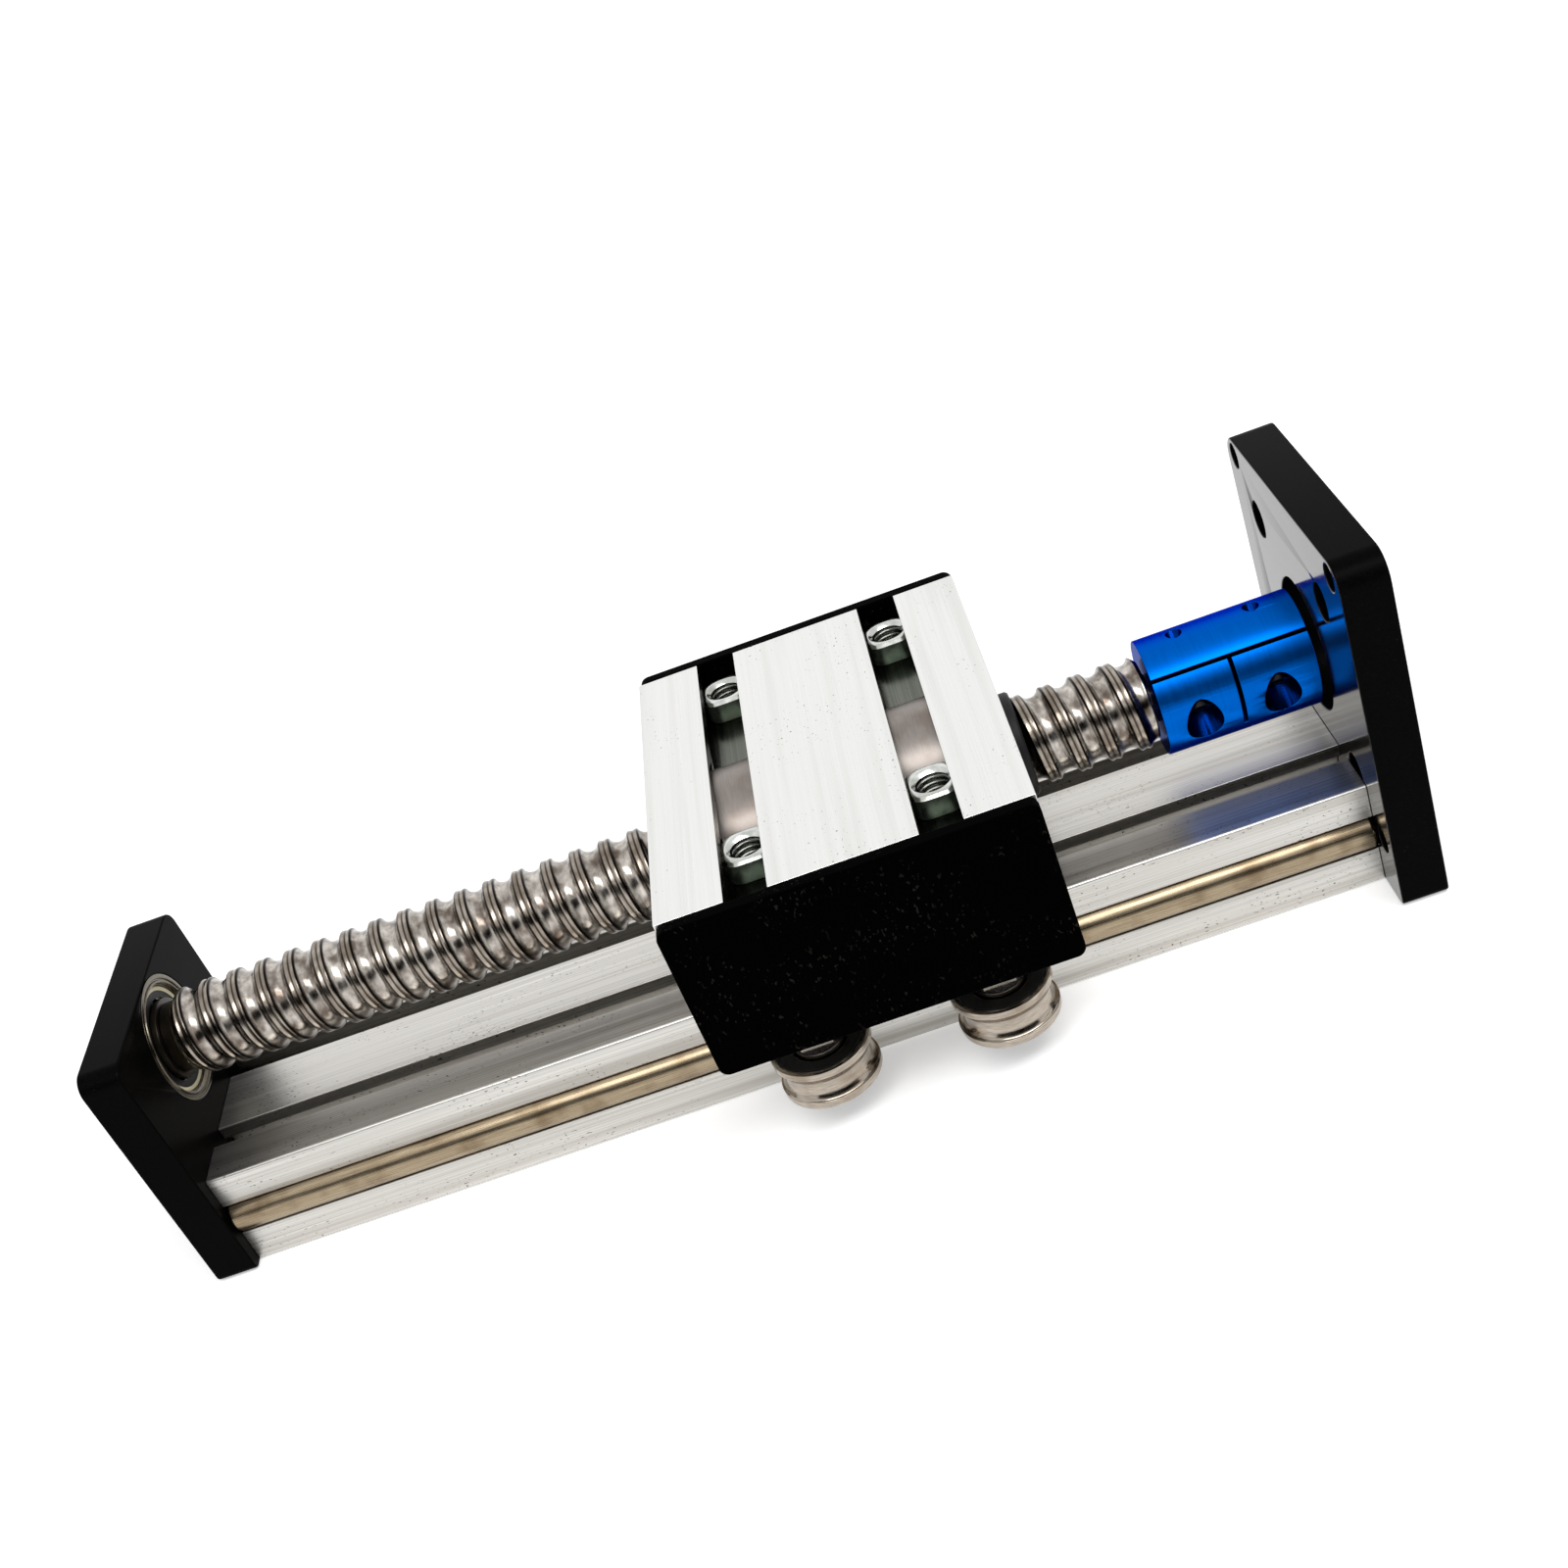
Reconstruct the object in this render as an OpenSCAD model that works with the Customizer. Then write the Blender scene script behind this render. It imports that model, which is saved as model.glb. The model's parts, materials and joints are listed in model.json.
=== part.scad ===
// Ball screw linear module. A slotted carriage on four grooved rollers rides on two round rods let
// into the sides of a slotted profile. A ball screw drives it, carried by a bearing in one end plate
// and joined by a clamp coupling to a motor, which bolts on the other end plate.
// Axes: X runs along the screw from the bearing plate to the motor plate, Z is up.
// Origin: the middle of the profile's underside, half way between the two end plates.

/* [Base profile] */
// Length of the profile, which is also the distance between the end plates
profile_length = 194.5; // [150:0.5:600]
// Width of the profile
profile_width = 40; // [36:0.5:60]
// Height of the profile
profile_height = 18.5; // [17:0.1:24]
// Radius of the profile's long outer edges
profile_edge_r = 0.5; // [0.2:0.1:1.5]
// Width of the mouth of each slot in the profile
profile_slot_width = 4.5; // [3:0.1:6]
// Distance of a slot's middle from the middle of the profile
profile_slot_y = 9.15; // [8:0.05:11]
// Thickness of the lips beside a profile slot
profile_lip = 2.25; // [1.5:0.05:3]
// Width of the chamber behind a profile slot
profile_chamber_width = 9.5; // [7:0.1:11]
// Depth of a profile slot from the face to the chamber's floor
profile_slot_depth = 6; // [4:0.1:7]

/* [Guide rods] */
// Radius of the two guide rods
rod_r = 3; // [2:0.1:4]
// Distance of a rod's axis from the middle of the profile
rod_y = 18.6; // [16:0.1:28]
// Height of the rods' axes above the underside
rod_z = 9.5; // [8:0.1:12]
// Gap between the end of a rod and the end plate
rod_end_gap = 0.3; // [0.3:0.1:4]
// Chamfer round the ends of the rods
rod_chamfer = 0.4; // [0.2:0.1:1]
// Width of the open joint between the profile's side and a rod, above and below it
rod_joint = 0.45; // [0.2:0.05:1]
// Depth of that joint
rod_joint_depth = 0.8; // [0.3:0.1:1.2]

/* [Bearing plate] */
// Thickness of the bearing plate
bearing_plate_thickness = 7; // [6.5:0.1:12]
// Width of the bearing plate
bearing_plate_width = 45; // [40:0.5:70]
// Height of the bearing plate
bearing_plate_height = 45.5; // [44:0.5:80]
// Radius of the bearing plate's top corners
bearing_plate_corner_r = 3; // [1:0.1:6]
// Radius of the bottom corners of both end plates
plate_foot_r = 1.2; // [0.5:0.1:3]

/* [Motor plate] */
// Thickness of the motor plate
motor_plate_thickness = 7.5; // [6:0.1:12]
// Width of the motor plate
motor_plate_width = 56; // [50:0.5:70]
// Height of the motor plate
motor_plate_height = 60.5; // [58:0.5:80]
// Radius of the motor plate's top corners
motor_plate_corner_r = 4.5; // [1:0.1:6]
// Radius of the hole for the motor's centring boss
pilot_r = 11.05; // [8:0.05:19.05]
// Hole spacing of the small motor flange
small_flange_spacing = 31; // [31:0.1:31]
// Radius of the small flange's clearance holes
small_flange_hole_r = 1.7; // [1.6:0.05:1.9]
// Radius of the counterbores for the small flange's screw heads
small_flange_counterbore_r = 3.1; // [2.9:0.1:3.5]
// Depth of those counterbores from the inner face
small_flange_counterbore_depth = 3.4; // [1:0.1:5]
// Hole spacing of the large motor flange
large_flange_spacing = 47.14; // [47.14:0.01:47.14]
// Tapping radius of the large flange's threaded holes
large_flange_hole_r = 2.1; // [2:0.05:2.2]

/* [Support bearing] */
// Outer radius of the support bearing
bearing_r = 11; // [9:0.5:15]
// Width of the support bearing
bearing_width = 6; // [5:0.5:9]
// Number of balls in the support bearing
bearing_balls_count = 11; // [7:1:14]

/* [Ball screw] */
// Height of the screw's axis above the underside
screw_z = 34; // [32:0.5:50]
// Outside radius of the screw
screw_r = 7.5; // [5:0.1:8]
// Pitch of the screw
screw_pitch = 5; // [4:0.5:10]
// Radius of the rounded groove
groove_r = 1.75; // [1:0.05:2]
// Distance of the groove's centre line from the axis
groove_pitch_r = 8.15; // [6:0.05:9]
// Length of plain shoulder between the bearing and the thread
screw_shoulder = 2.2; // [1:0.1:10]
// Distance from the end of the thread to the motor plate
screw_right_gap = 26.45; // [26:0.05:40]
// Radius of the journal in the support bearing
journal_left_r = 5; // [3:0.1:6]
// Radius of the journal in the coupling
journal_right_r = 4; // [3:0.1:5]

/* [Coupling] */
// Outside radius of the coupling
coupling_r = 9.5; // [8:0.1:12]
// Length of the coupling
coupling_length = 25; // [20:0.5:30]
// Gap between the coupling and the motor plate
coupling_gap = 0.95; // [0.5:0.05:4]
// Radius of the bore for the motor shaft
motor_shaft_bore_r = 3.2; // [2.5:0.025:4]
// Width of the clamping slits
coupling_slit = 0.6; // [0.5:0.1:2]
// Turn of the long slit from the top towards the near side, in degrees
coupling_slit_angle = 45; // [0:1:90]
// Turn of the clamp screws' middle plane from the top towards the near side, in degrees
clamp_screw_angle = 49; // [20:1:60]
// Distance of the clamp screws from the coupling's axis
clamp_screw_offset = 5.6; // [5.5:0.05:6.4]

/* [Carriage] */
// Place of the carriage's middle along the screw
carriage_x = 19.65; // [-40:0.05:37]
// Length of the carriage along the screw
carriage_length = 57.4; // [50:0.1:80]
// Width of the aluminium block between the covers
carriage_width = 73.5; // [70:0.5:90]
// Height of the underside of the block
carriage_bottom = 20; // [19:0.5:24]
// Height of the top of the block
carriage_top = 48; // [46:0.5:60]
// Spacing of the two slots along the screw
carriage_slot_spacing = 29.4; // [24:0.1:40]
// Width of the mouth of each carriage slot
carriage_slot_width = 6.6; // [5:0.1:8]
// Thickness of the lips beside a carriage slot
carriage_lip = 2.4; // [1.5:0.1:4]
// Width of the chamber behind a carriage slot
carriage_chamber_width = 10.4; // [8:0.1:12]
// Depth of an upper carriage slot from the face to the chamber's floor
carriage_slot_depth = 6.5; // [4:0.1:7]
// Depth of a lower carriage slot from the face to the chamber's floor
carriage_foot_slot_depth = 5; // [4:0.1:7]
// Thickness of the two covers
cover_thickness = 2.55; // [1:0.05:5]
// Radius of the corners of the covers
cover_corner_r = 1.6; // [1:0.1:6]

/* [Ball nut] */
// Outside radius of the ball nut
nut_r = 12.25; // [11:0.05:13]
// Length of the ball nut
nut_length = 50; // [30:0.5:60]
// Radius of the balls in the nut
nut_ball_r = 1.4; // [1:0.05:1.6]
// Balls in each turn of the thread
balls_per_turn = 16; // [8:1:18]
// Turns of the thread filled with balls
ball_turns = 3; // [1:1:5]
// Distance the right wiper stands out of the block
wiper_out = 1.8; // [0:0.1:3]

/* [Slot nuts] */
// Place of the two slot nuts beyond the screw
slot_nut_far_y = 30; // [14:0.1:31]
// Place of the two slot nuts on the near side
slot_nut_near_y = -20; // [-31:0.1:-14]
// Radius of the tapped holes in the slot nuts
slot_nut_hole_r = 2.5; // [1.6:0.05:2.6]
// Distance the slot nuts lie to the right of the middle of their slots
slot_nut_shift = 0.4; // [0:0.1:1]

/* [Rollers] */
// Outside radius of the rollers
roller_r = 8.2; // [7:0.1:10]
// Height of the rollers
roller_height = 7; // [6:0.1:9]
// Distance of a roller's axis from the middle of the profile
roller_y = 28.9; // [26:0.1:33]
// Radius of the groove round a roller
roller_groove_r = 3.25; // [2.05:0.05:4.05]
// Number of balls in each roller
roller_balls_count = 11; // [7:1:12]

/* [Hidden] */
$fn = 48;
eps = 0.01;
same_body_gap = 0.02;
half_length = profile_length / 2;
bearing_plate_x = -half_length - bearing_plate_thickness;
motor_plate_x = half_length + motor_plate_thickness;
screw_core_r = 1.65;
plate_screw_r = 2;
plate_screw_length = 18;
plate_screw_head_r = 4;
plate_screw_head_height = 2.3;
plate_screw_ys = [-profile_slot_y, 0, profile_slot_y];
plate_screw_z = profile_height / 2;
rod_length = profile_length - 2 * rod_end_gap;
rod_mouth = sqrt(pow(rod_r, 2) - pow(profile_width / 2 - rod_y, 2));
bearing_pitch_r = 8.1;
bearing_ball_r = 1.45;
bearing_inner_land_r = 6.9;
bearing_outer_land_r = 9.2;
bearing_shield_r = 7.2;
bearing_x0 = -half_length - bearing_width;
bearing_mid_x = -half_length - bearing_width / 2;
lip_hole_r = 9.6;
thread_x0 = -half_length + screw_shoulder;
thread_x1 = half_length - screw_right_gap;
coupling_x1 = half_length - coupling_gap;
coupling_x0 = coupling_x1 - coupling_length;
coupling_mid_x = (coupling_x0 + coupling_x1) / 2;
journal_right_length = 12;
end_screw_r = 2.5;
end_screw_depth = 6;
end_washer_r = 6;
end_washer_thickness = 1.2;
steps_round = 16;
steps_per_pitch = 8;
thread_rows = floor((thread_x1 - thread_x0) * steps_per_pitch / screw_pitch);
thread_step = (thread_x1 - thread_x0) / thread_rows;
thread_end_r = 6.3;
groove_half = sqrt(pow(groove_r, 2) - pow(groove_pitch_r - screw_r, 2));
clamp_screw_xs = [coupling_mid_x - 6.3, coupling_mid_x + 6.3];
clamp_screw_r = 1.25;
clamp_head_r = 2.25;
clamp_pocket_r = 2.9;
clamp_seat = 2.6;
clamp_head_height = 2.5;
block_x0 = carriage_x - carriage_length / 2;
block_x1 = carriage_x + carriage_length / 2;
slot_xs = [carriage_x - carriage_slot_spacing / 2, carriage_x + carriage_slot_spacing / 2];
nut_x1 = block_x1;
nut_x0 = nut_x1 - nut_length;
nut_relief_r = 13.3;
nut_land_left = 2.65;
nut_land_right = 7.35;
nut_end_bore_r = 7.9;
nut_cavity_r = groove_pitch_r + nut_ball_r + same_body_gap;
wiper_r = 8.6;
wiper_inner_r = 7.7;
wiper_depth = 2;
nut_wall_hole_r = 9.2;
ball_x0 = nut_x0 + 12.5;
return_r = 2.5;
set_screw_r = 2;
set_screw_length = 10;
slot_nut_size = [8, 9];
slot_nut_corner = 2.6;
slot_nut_z = [41.55, 45.5];
slot_nut_chamfer = 0.4;
slot_nut_mouth_r = slot_nut_hole_r + slot_nut_chamfer;
foot_nut_size = [9.9, 12];
foot_nut_z = [22.45, 24.95];
roller_bolt_r = 2.5;
roller_bolt_head_r = 4.5;
roller_bolt_head_z = [2.7, 5.5];
roller_ring_z = [rod_z - 4, rod_z + 4];
roller_inner_r = 4.2;
roller_inner_land_r = 4.7;
roller_ball_r = 1;
roller_pitch_r = 5.3;
roller_outer_land_r = 5.9;
roller_seal_r = 7.3;
roller_seal_inner_r = 4.5;
roller_seal_thickness = 0.5;
roller_seal_recess = 0.6;
spacer_r = 4.2;

// Turns a flat shape in Y and Z into a bar along X that starts at x.
module along_x(x) {
  translate([x, 0, 0]) rotate([90, 0, 90]) children();
}

// Turns a flat shape in X and Z into a bar along Y that ends at y.
module along_y(y) {
  translate([0, y, 0]) rotate([90, 0, 0]) children();
}

// A round bar along X between x0 and x1 at the place y, z.
module bar_x(r, x0, x1, y, z) {
  along_x(x0) translate([y, z, 0]) cylinder(r = r, h = x1 - x0);
}

// A tube along X round the screw's axis.
module tube_x(r_out, r_in, x0, x1) {
  difference() {
    bar_x(r_out, x0, x1, 0, screw_z);
    bar_x(r_in, x0 - 1, x1 + 1, 0, screw_z);
  }
}

// A flat rectangle with its middle on the first axis, standing on the second, with rounded corners.
module plate_outline(width, height, top_r, foot_r) {
  translate([-width / 2 + foot_r, 0]) square([width - 2 * foot_r, foot_r]);
  translate([-width / 2, foot_r]) square([width, height - foot_r - top_r]);
  translate([-width / 2 + top_r, height - top_r]) square([width - 2 * top_r, top_r]);
  for (side = [-1, 1]) {
    translate([side * (width / 2 - foot_r), foot_r]) circle(r = foot_r);
    translate([side * (width / 2 - top_r), height - top_r]) circle(r = top_r);
  }
}

// A solid block with rounded upright corners, middle at the origin.
module rounded_block(size_x, size_y, height, r) {
  translate([-size_x / 2 + r, -size_y / 2, 0]) cube([size_x - 2 * r, size_y, height]);
  translate([-size_x / 2, -size_y / 2 + r, 0]) cube([size_x, size_y - 2 * r, height]);
  for (sx = [-1, 1], sy = [-1, 1])
    translate([sx * (size_x / 2 - r), sy * (size_y / 2 - r), 0]) cylinder(r = r, h = height);
}

// A T-shaped slot, middle at the origin, cut downwards from the first axis.
module slot_outline(mouth, lip, chamber, depth) {
  translate([-mouth / 2, -lip - eps]) square([mouth, lip + 1]);
  translate([-chamber / 2, -depth]) square([chamber, depth - lip]);
}

// Places a child at the four corners of a square in Y and Z round the screw's axis.
module at_flange_holes(spacing) {
  for (sy = [-1, 1], sz = [-1, 1]) translate([sy * spacing / 2, screw_z + sz * spacing / 2, 0]) children();
}

// A countersunk screw, its flat head at the origin and its shank along +Z.
module countersunk_screw() {
  difference() {
    union() {
      cylinder(r1 = plate_screw_head_r, r2 = plate_screw_r, h = plate_screw_head_height);
      cylinder(r = plate_screw_r, h = plate_screw_length);
    }
    translate([0, 0, -1]) cylinder(r = 1.44, h = 2.4, $fn = 6);
  }
}

// The room that screw needs in a plate.
module countersunk_hole(thickness) {
  translate([0, 0, -eps]) cylinder(r1 = 4.1, r2 = 2.1, h = plate_screw_head_height + 0.1);
  translate([0, 0, -1]) cylinder(r = 2.15, h = thickness + 2);
}

module profile_outline() {
  difference() {
    plate_outline(profile_width, profile_height, profile_edge_r, profile_edge_r);
    for (side = [-1, 1]) {
      translate([side * profile_slot_y, profile_height])
        slot_outline(profile_slot_width, profile_lip, profile_chamber_width, profile_slot_depth);
      translate([side * profile_slot_y, 0]) mirror([0, 1])
        slot_outline(profile_slot_width, profile_lip, profile_chamber_width, profile_slot_depth);
      translate([side * rod_y, rod_z]) circle(r = rod_r + same_body_gap);
      translate([side * profile_width / 2, rod_z])
        square([2 * rod_joint_depth, 2 * (rod_mouth + rod_joint)], center = true);
    }
    for (y = plate_screw_ys) translate([y, plate_screw_z]) circle(r = screw_core_r);
  }
}

module base_profile() {
  color("#cfcdc8") difference() {
    along_x(-half_length) linear_extrude(profile_length) profile_outline();
    for (y = plate_screw_ys, x = [-half_length - 1, half_length - 13])
      bar_x(plate_screw_r + same_body_gap, x, x + 14, y, plate_screw_z);
  }
}

module guide_rod(side) {
  along_x(-rod_length / 2) translate([side * rod_y, rod_z, 0]) {
    cylinder(r1 = rod_r - rod_chamfer, r2 = rod_r, h = rod_chamfer);
    translate([0, 0, rod_chamfer]) cylinder(r = rod_r, h = rod_length - 2 * rod_chamfer);
    translate([0, 0, rod_length - rod_chamfer])
      cylinder(r1 = rod_r, r2 = rod_r - rod_chamfer, h = rod_chamfer);
  }
}

module guide_rod_near() {
  color("#a89a86") guide_rod(-1);
}

module guide_rod_far() {
  color("#a89a86") guide_rod(1);
}

module bearing_plate() {
  color("#1c1b1a") difference() {
    along_x(bearing_plate_x) linear_extrude(bearing_plate_thickness)
      plate_outline(bearing_plate_width, bearing_plate_height, bearing_plate_corner_r, plate_foot_r);
    bar_x(bearing_r + same_body_gap, bearing_x0, -half_length + 1, 0, screw_z);
    bar_x(lip_hole_r, bearing_plate_x - 1, -half_length, 0, screw_z);
    for (y = plate_screw_ys) along_x(bearing_plate_x) translate([y, plate_screw_z, 0])
      countersunk_hole(bearing_plate_thickness);
  }
}

module bearing_plate_screws() {
  color("#2a2a2c") for (y = plate_screw_ys)
    along_x(bearing_plate_x) translate([y, plate_screw_z, 0]) countersunk_screw();
}

module motor_plate() {
  color("#1c1b1a") difference() {
    along_x(half_length) linear_extrude(motor_plate_thickness)
      plate_outline(motor_plate_width, motor_plate_height, motor_plate_corner_r, plate_foot_r);
    bar_x(pilot_r, half_length - 1, motor_plate_x + 1, 0, screw_z);
    along_x(half_length - 1) at_flange_holes(small_flange_spacing) {
      cylinder(r = small_flange_hole_r, h = motor_plate_thickness + 2);
      cylinder(r = small_flange_counterbore_r, h = small_flange_counterbore_depth + 1);
    }
    along_x(half_length - 1) at_flange_holes(large_flange_spacing)
      cylinder(r = large_flange_hole_r, h = motor_plate_thickness + 2);
    for (y = plate_screw_ys) mirror([1, 0, 0]) along_x(-motor_plate_x) translate([y, plate_screw_z, 0])
      countersunk_hole(motor_plate_thickness);
  }
}

module motor_plate_screws() {
  color("#2a2a2c") for (y = plate_screw_ys)
    mirror([1, 0, 0]) along_x(-motor_plate_x) translate([y, plate_screw_z, 0]) countersunk_screw();
}

// A ring with a ball race of radius race_r round the pitch circle, its middle at the origin.
module race_ring(r_out, r_in, width, pitch_r, race_r) {
  difference() {
    translate([0, 0, -width / 2]) cylinder(r = r_out, h = width);
    translate([0, 0, -width / 2 - 1]) cylinder(r = r_in, h = width + 2);
    rotate_extrude() translate([pitch_r, 0]) circle(r = race_r);
  }
}

module bearing_outer_ring() {
  color("#a6a39a") along_x(bearing_mid_x) translate([0, screw_z, 0]) difference() {
    race_ring(bearing_r, bearing_outer_land_r - 0.3, bearing_width, bearing_pitch_r, bearing_ball_r + 0.3);
    for (side = [0, 1]) mirror([0, 0, side]) translate([0, 0, bearing_width / 2 - 0.8])
      cylinder(r = bearing_outer_land_r, h = 1);
  }
}

module bearing_shields() {
  color("#d8cfb4") for (side = [0, 1])
    along_x(bearing_mid_x) translate([0, screw_z, 0]) mirror([0, 0, side]) difference() {
      translate([0, 0, bearing_width / 2 - 0.8]) cylinder(r = bearing_outer_land_r, h = 0.5);
      cylinder(r = bearing_shield_r, h = bearing_width);
    }
}

module bearing_inner_ring() {
  color("#8c8a86") along_x(bearing_mid_x) translate([0, screw_z, 0])
    race_ring(bearing_inner_land_r, journal_left_r + same_body_gap, bearing_width, bearing_pitch_r,
      bearing_ball_r + same_body_gap);
}

module bearing_balls() {
  color("#b8b8b8") for (i = [0 : bearing_balls_count - 1])
    along_x(bearing_mid_x) translate([0, screw_z, 0]) rotate([0, 0, i * 360 / bearing_balls_count])
      translate([bearing_pitch_r, 0, 0]) sphere(r = bearing_ball_r);
}

// Radius of the screw at a distance along it and an angle round it, measured from +Y towards +Z.
function thread_phase(x, angle) =
  let (turns = (x - thread_x0) / screw_pitch - angle / 360) turns - floor(turns) - 0.5;
function grooved_r(s) =
  abs(s) >= groove_half ? screw_r : groove_pitch_r - sqrt(pow(groove_r, 2) - pow(s, 2));
function thread_r(x, angle) = min(
  grooved_r(thread_phase(x, angle) * screw_pitch),
  thread_end_r + x - thread_x0,
  thread_end_r + thread_x1 - x
);

// The threaded length of the screw as a grid of facets, closed by a flat end at each side.
module thread() {
  points = [
    for (i = [0 : thread_rows], j = [0 : steps_round - 1])
      let (x = thread_x0 + i * thread_step, a = j * 360 / steps_round, r = thread_r(x, a))
      [x, r * cos(a), screw_z + r * sin(a)]
  ];
  sides = [
    for (i = [0 : thread_rows - 1], j = [0 : steps_round - 1], half = [0, 1])
      let (k = (j + 1) % steps_round, a = i * steps_round, b = a + steps_round)
      half == 0 ? [a + j, b + k, b + j] : [a + j, a + k, b + k]
  ];
  last = thread_rows * steps_round;
  first_end = [for (j = [0 : steps_round - 1]) j];
  last_end = [for (j = [steps_round - 1 : -1 : 0]) last + j];
  polyhedron(points, concat(sides, [first_end, last_end]));
}

module ball_screw() {
  color("#c4c2be") {
    thread();
    bar_x(thread_end_r - 0.3, -half_length, thread_x0, 0, screw_z);
    difference() {
      bar_x(journal_left_r, bearing_x0 + 0.3, -half_length, 0, screw_z);
      bar_x(end_screw_r + same_body_gap, bearing_x0, bearing_x0 + end_screw_depth, 0, screw_z);
    }
    bar_x(journal_right_r, thread_x1, coupling_x0 + journal_right_length, 0, screw_z);
  }
}

module end_washer() {
  color("#b9b7b2") tube_x(end_washer_r, end_screw_r + 0.1, bearing_x0 - end_washer_thickness, bearing_x0);
}

module end_screw() {
  head_x = bearing_x0 - end_washer_thickness;
  color("#2a2a2c") difference() {
    union() {
      bar_x(end_screw_r, head_x, bearing_x0 + end_screw_depth - 0.7, 0, screw_z);
      bar_x(4.6, head_x - 1.6, head_x, 0, screw_z);
      along_x(head_x - 1.6) translate([0, screw_z, 0]) mirror([0, 0, 1]) cylinder(r1 = 4.6, r2 = 3.4, h = 1);
    }
    along_x(head_x - 3) translate([0, screw_z, 0]) cylinder(r = 1.73, h = 2, $fn = 6);
  }
}

// Turns a child so that +Z points along a clamp screw from the slit to the screw's head.
module at_clamp_screws() {
  for (x = clamp_screw_xs) translate([x, 0, screw_z]) rotate([clamp_screw_angle, 0, 0])
    translate([0, 0, clamp_screw_offset]) rotate([90, 0, 0]) children();
}

module coupling() {
  color("#0a4fd0") difference() {
    bar_x(coupling_r, coupling_x0, coupling_x1, 0, screw_z);
    bar_x(journal_right_r + same_body_gap, coupling_x0 - 1, coupling_mid_x, 0, screw_z);
    bar_x(motor_shaft_bore_r, coupling_x0, coupling_x1 + 1, 0, screw_z);
    translate([coupling_x0 - 1, 0, screw_z]) rotate([coupling_slit_angle, 0, 0])
      translate([0, -coupling_slit / 2, 0]) cube([coupling_length + 2, coupling_slit, coupling_r + 1]);
    translate([0, 0, screw_z]) rotate([coupling_slit_angle, 0, 0]) along_x(coupling_mid_x - coupling_slit / 2)
      linear_extrude(coupling_slit) polygon([[0, 0], [0, 14], [-8.4, 11.2], [-13.6, 3.3]]);
    at_clamp_screws() {
      translate([0, 0, -coupling_r]) cylinder(r = clamp_screw_r + same_body_gap, h = 2 * coupling_r);
      translate([0, 0, clamp_seat]) cylinder(r = clamp_pocket_r, h = coupling_r);
    }
  }
}

module coupling_screws() {
  color("#1b1b1d") at_clamp_screws() difference() {
    union() {
      translate([0, 0, -6.5]) cylinder(r = clamp_screw_r, h = 6.5 + clamp_seat);
      translate([0, 0, clamp_seat]) cylinder(r = clamp_head_r, h = clamp_head_height);
    }
    translate([0, 0, clamp_seat + 1]) cylinder(r = 1.15, h = 3, $fn = 6);
  }
}

module carriage_outline() {
  height = carriage_top - carriage_bottom;
  difference() {
    translate([block_x0, carriage_bottom]) square([carriage_length, height]);
    for (x = slot_xs) {
      translate([x, carriage_top])
        slot_outline(carriage_slot_width, carriage_lip, carriage_chamber_width, carriage_slot_depth);
      translate([x, carriage_bottom]) mirror([0, 1])
        slot_outline(carriage_slot_width, carriage_lip, carriage_chamber_width, carriage_foot_slot_depth);
    }
  }
}

module carriage_block() {
  color("#d6d4cf") difference() {
    along_y(carriage_width / 2) linear_extrude(carriage_width) carriage_outline();
    bar_x(nut_wall_hole_r, block_x0 - 1, nut_x0 + 1, 0, screw_z);
    bar_x(nut_r + same_body_gap, nut_x0, nut_x1 + 1, 0, screw_z);
    bar_x(nut_relief_r, nut_x0 + nut_land_left, nut_x1 - nut_land_right, 0, screw_z);
    translate([carriage_x, carriage_width / 2 + 1, screw_z]) rotate([90, 0, 0])
      cylinder(r = set_screw_r + same_body_gap, h = carriage_width + 2);
  }
}

module cover(y) {
  along_y(y) linear_extrude(cover_thickness) translate([carriage_x, carriage_bottom])
    plate_outline(carriage_length, carriage_top - carriage_bottom, cover_corner_r, cover_corner_r);
}

module cover_near() {
  color("#151515") cover(-carriage_width / 2);
}

module cover_far() {
  color("#151515") cover(carriage_width / 2 + cover_thickness);
}

// Turns a child so that +Z points out of the nut at the place and angle of a ball return.
module at_returns() {
  for (i = [0 : ball_turns - 1])
    translate([ball_x0 + (i + 0.5) * screw_pitch, 0, screw_z]) rotate([-150 + 150 * i, 0, 0]) children();
}

module ball_nut() {
  color("#b7b2a8") difference() {
    bar_x(nut_r, nut_x0, nut_x1, 0, screw_z);
    bar_x(nut_end_bore_r, nut_x0 - 1, nut_x1 + 1, 0, screw_z);
    bar_x(nut_cavity_r, nut_x0 + 6, nut_x1 - 6, 0, screw_z);
    bar_x(wiper_r, nut_x0 - 1, nut_x0 + wiper_depth, 0, screw_z);
    bar_x(wiper_r, nut_x1 - wiper_depth, nut_x1 + 1, 0, screw_z);
    at_returns() cylinder(r = return_r + same_body_gap, h = nut_r + 1);
  }
}

module nut_wipers() {
  color("#121212") {
    tube_x(wiper_r, wiper_inner_r + 0.15, nut_x0, nut_x0 + wiper_depth);
    tube_x(wiper_r, wiper_inner_r + 0.15, nut_x1 - wiper_depth, nut_x1 + wiper_out);
  }
}

// The balls lie in the groove of the screw, so each one's angle sets its place along the screw.
module nut_balls() {
  first = thread_x0 + screw_pitch * (0.5 + ceil((ball_x0 - thread_x0) / screw_pitch));
  color("#c8c8c8") for (i = [0 : balls_per_turn * ball_turns - 1])
    let (a = i * 360 / balls_per_turn)
      translate([first + screw_pitch * a / 360, groove_pitch_r * cos(a), screw_z + groove_pitch_r * sin(a)])
        sphere(r = nut_ball_r);
}

module ball_returns() {
  color("#8a8a8a") at_returns() translate([0, 0, nut_cavity_r + same_body_gap])
    cylinder(r = return_r, h = nut_r - nut_cavity_r - 0.3);
}

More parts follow.
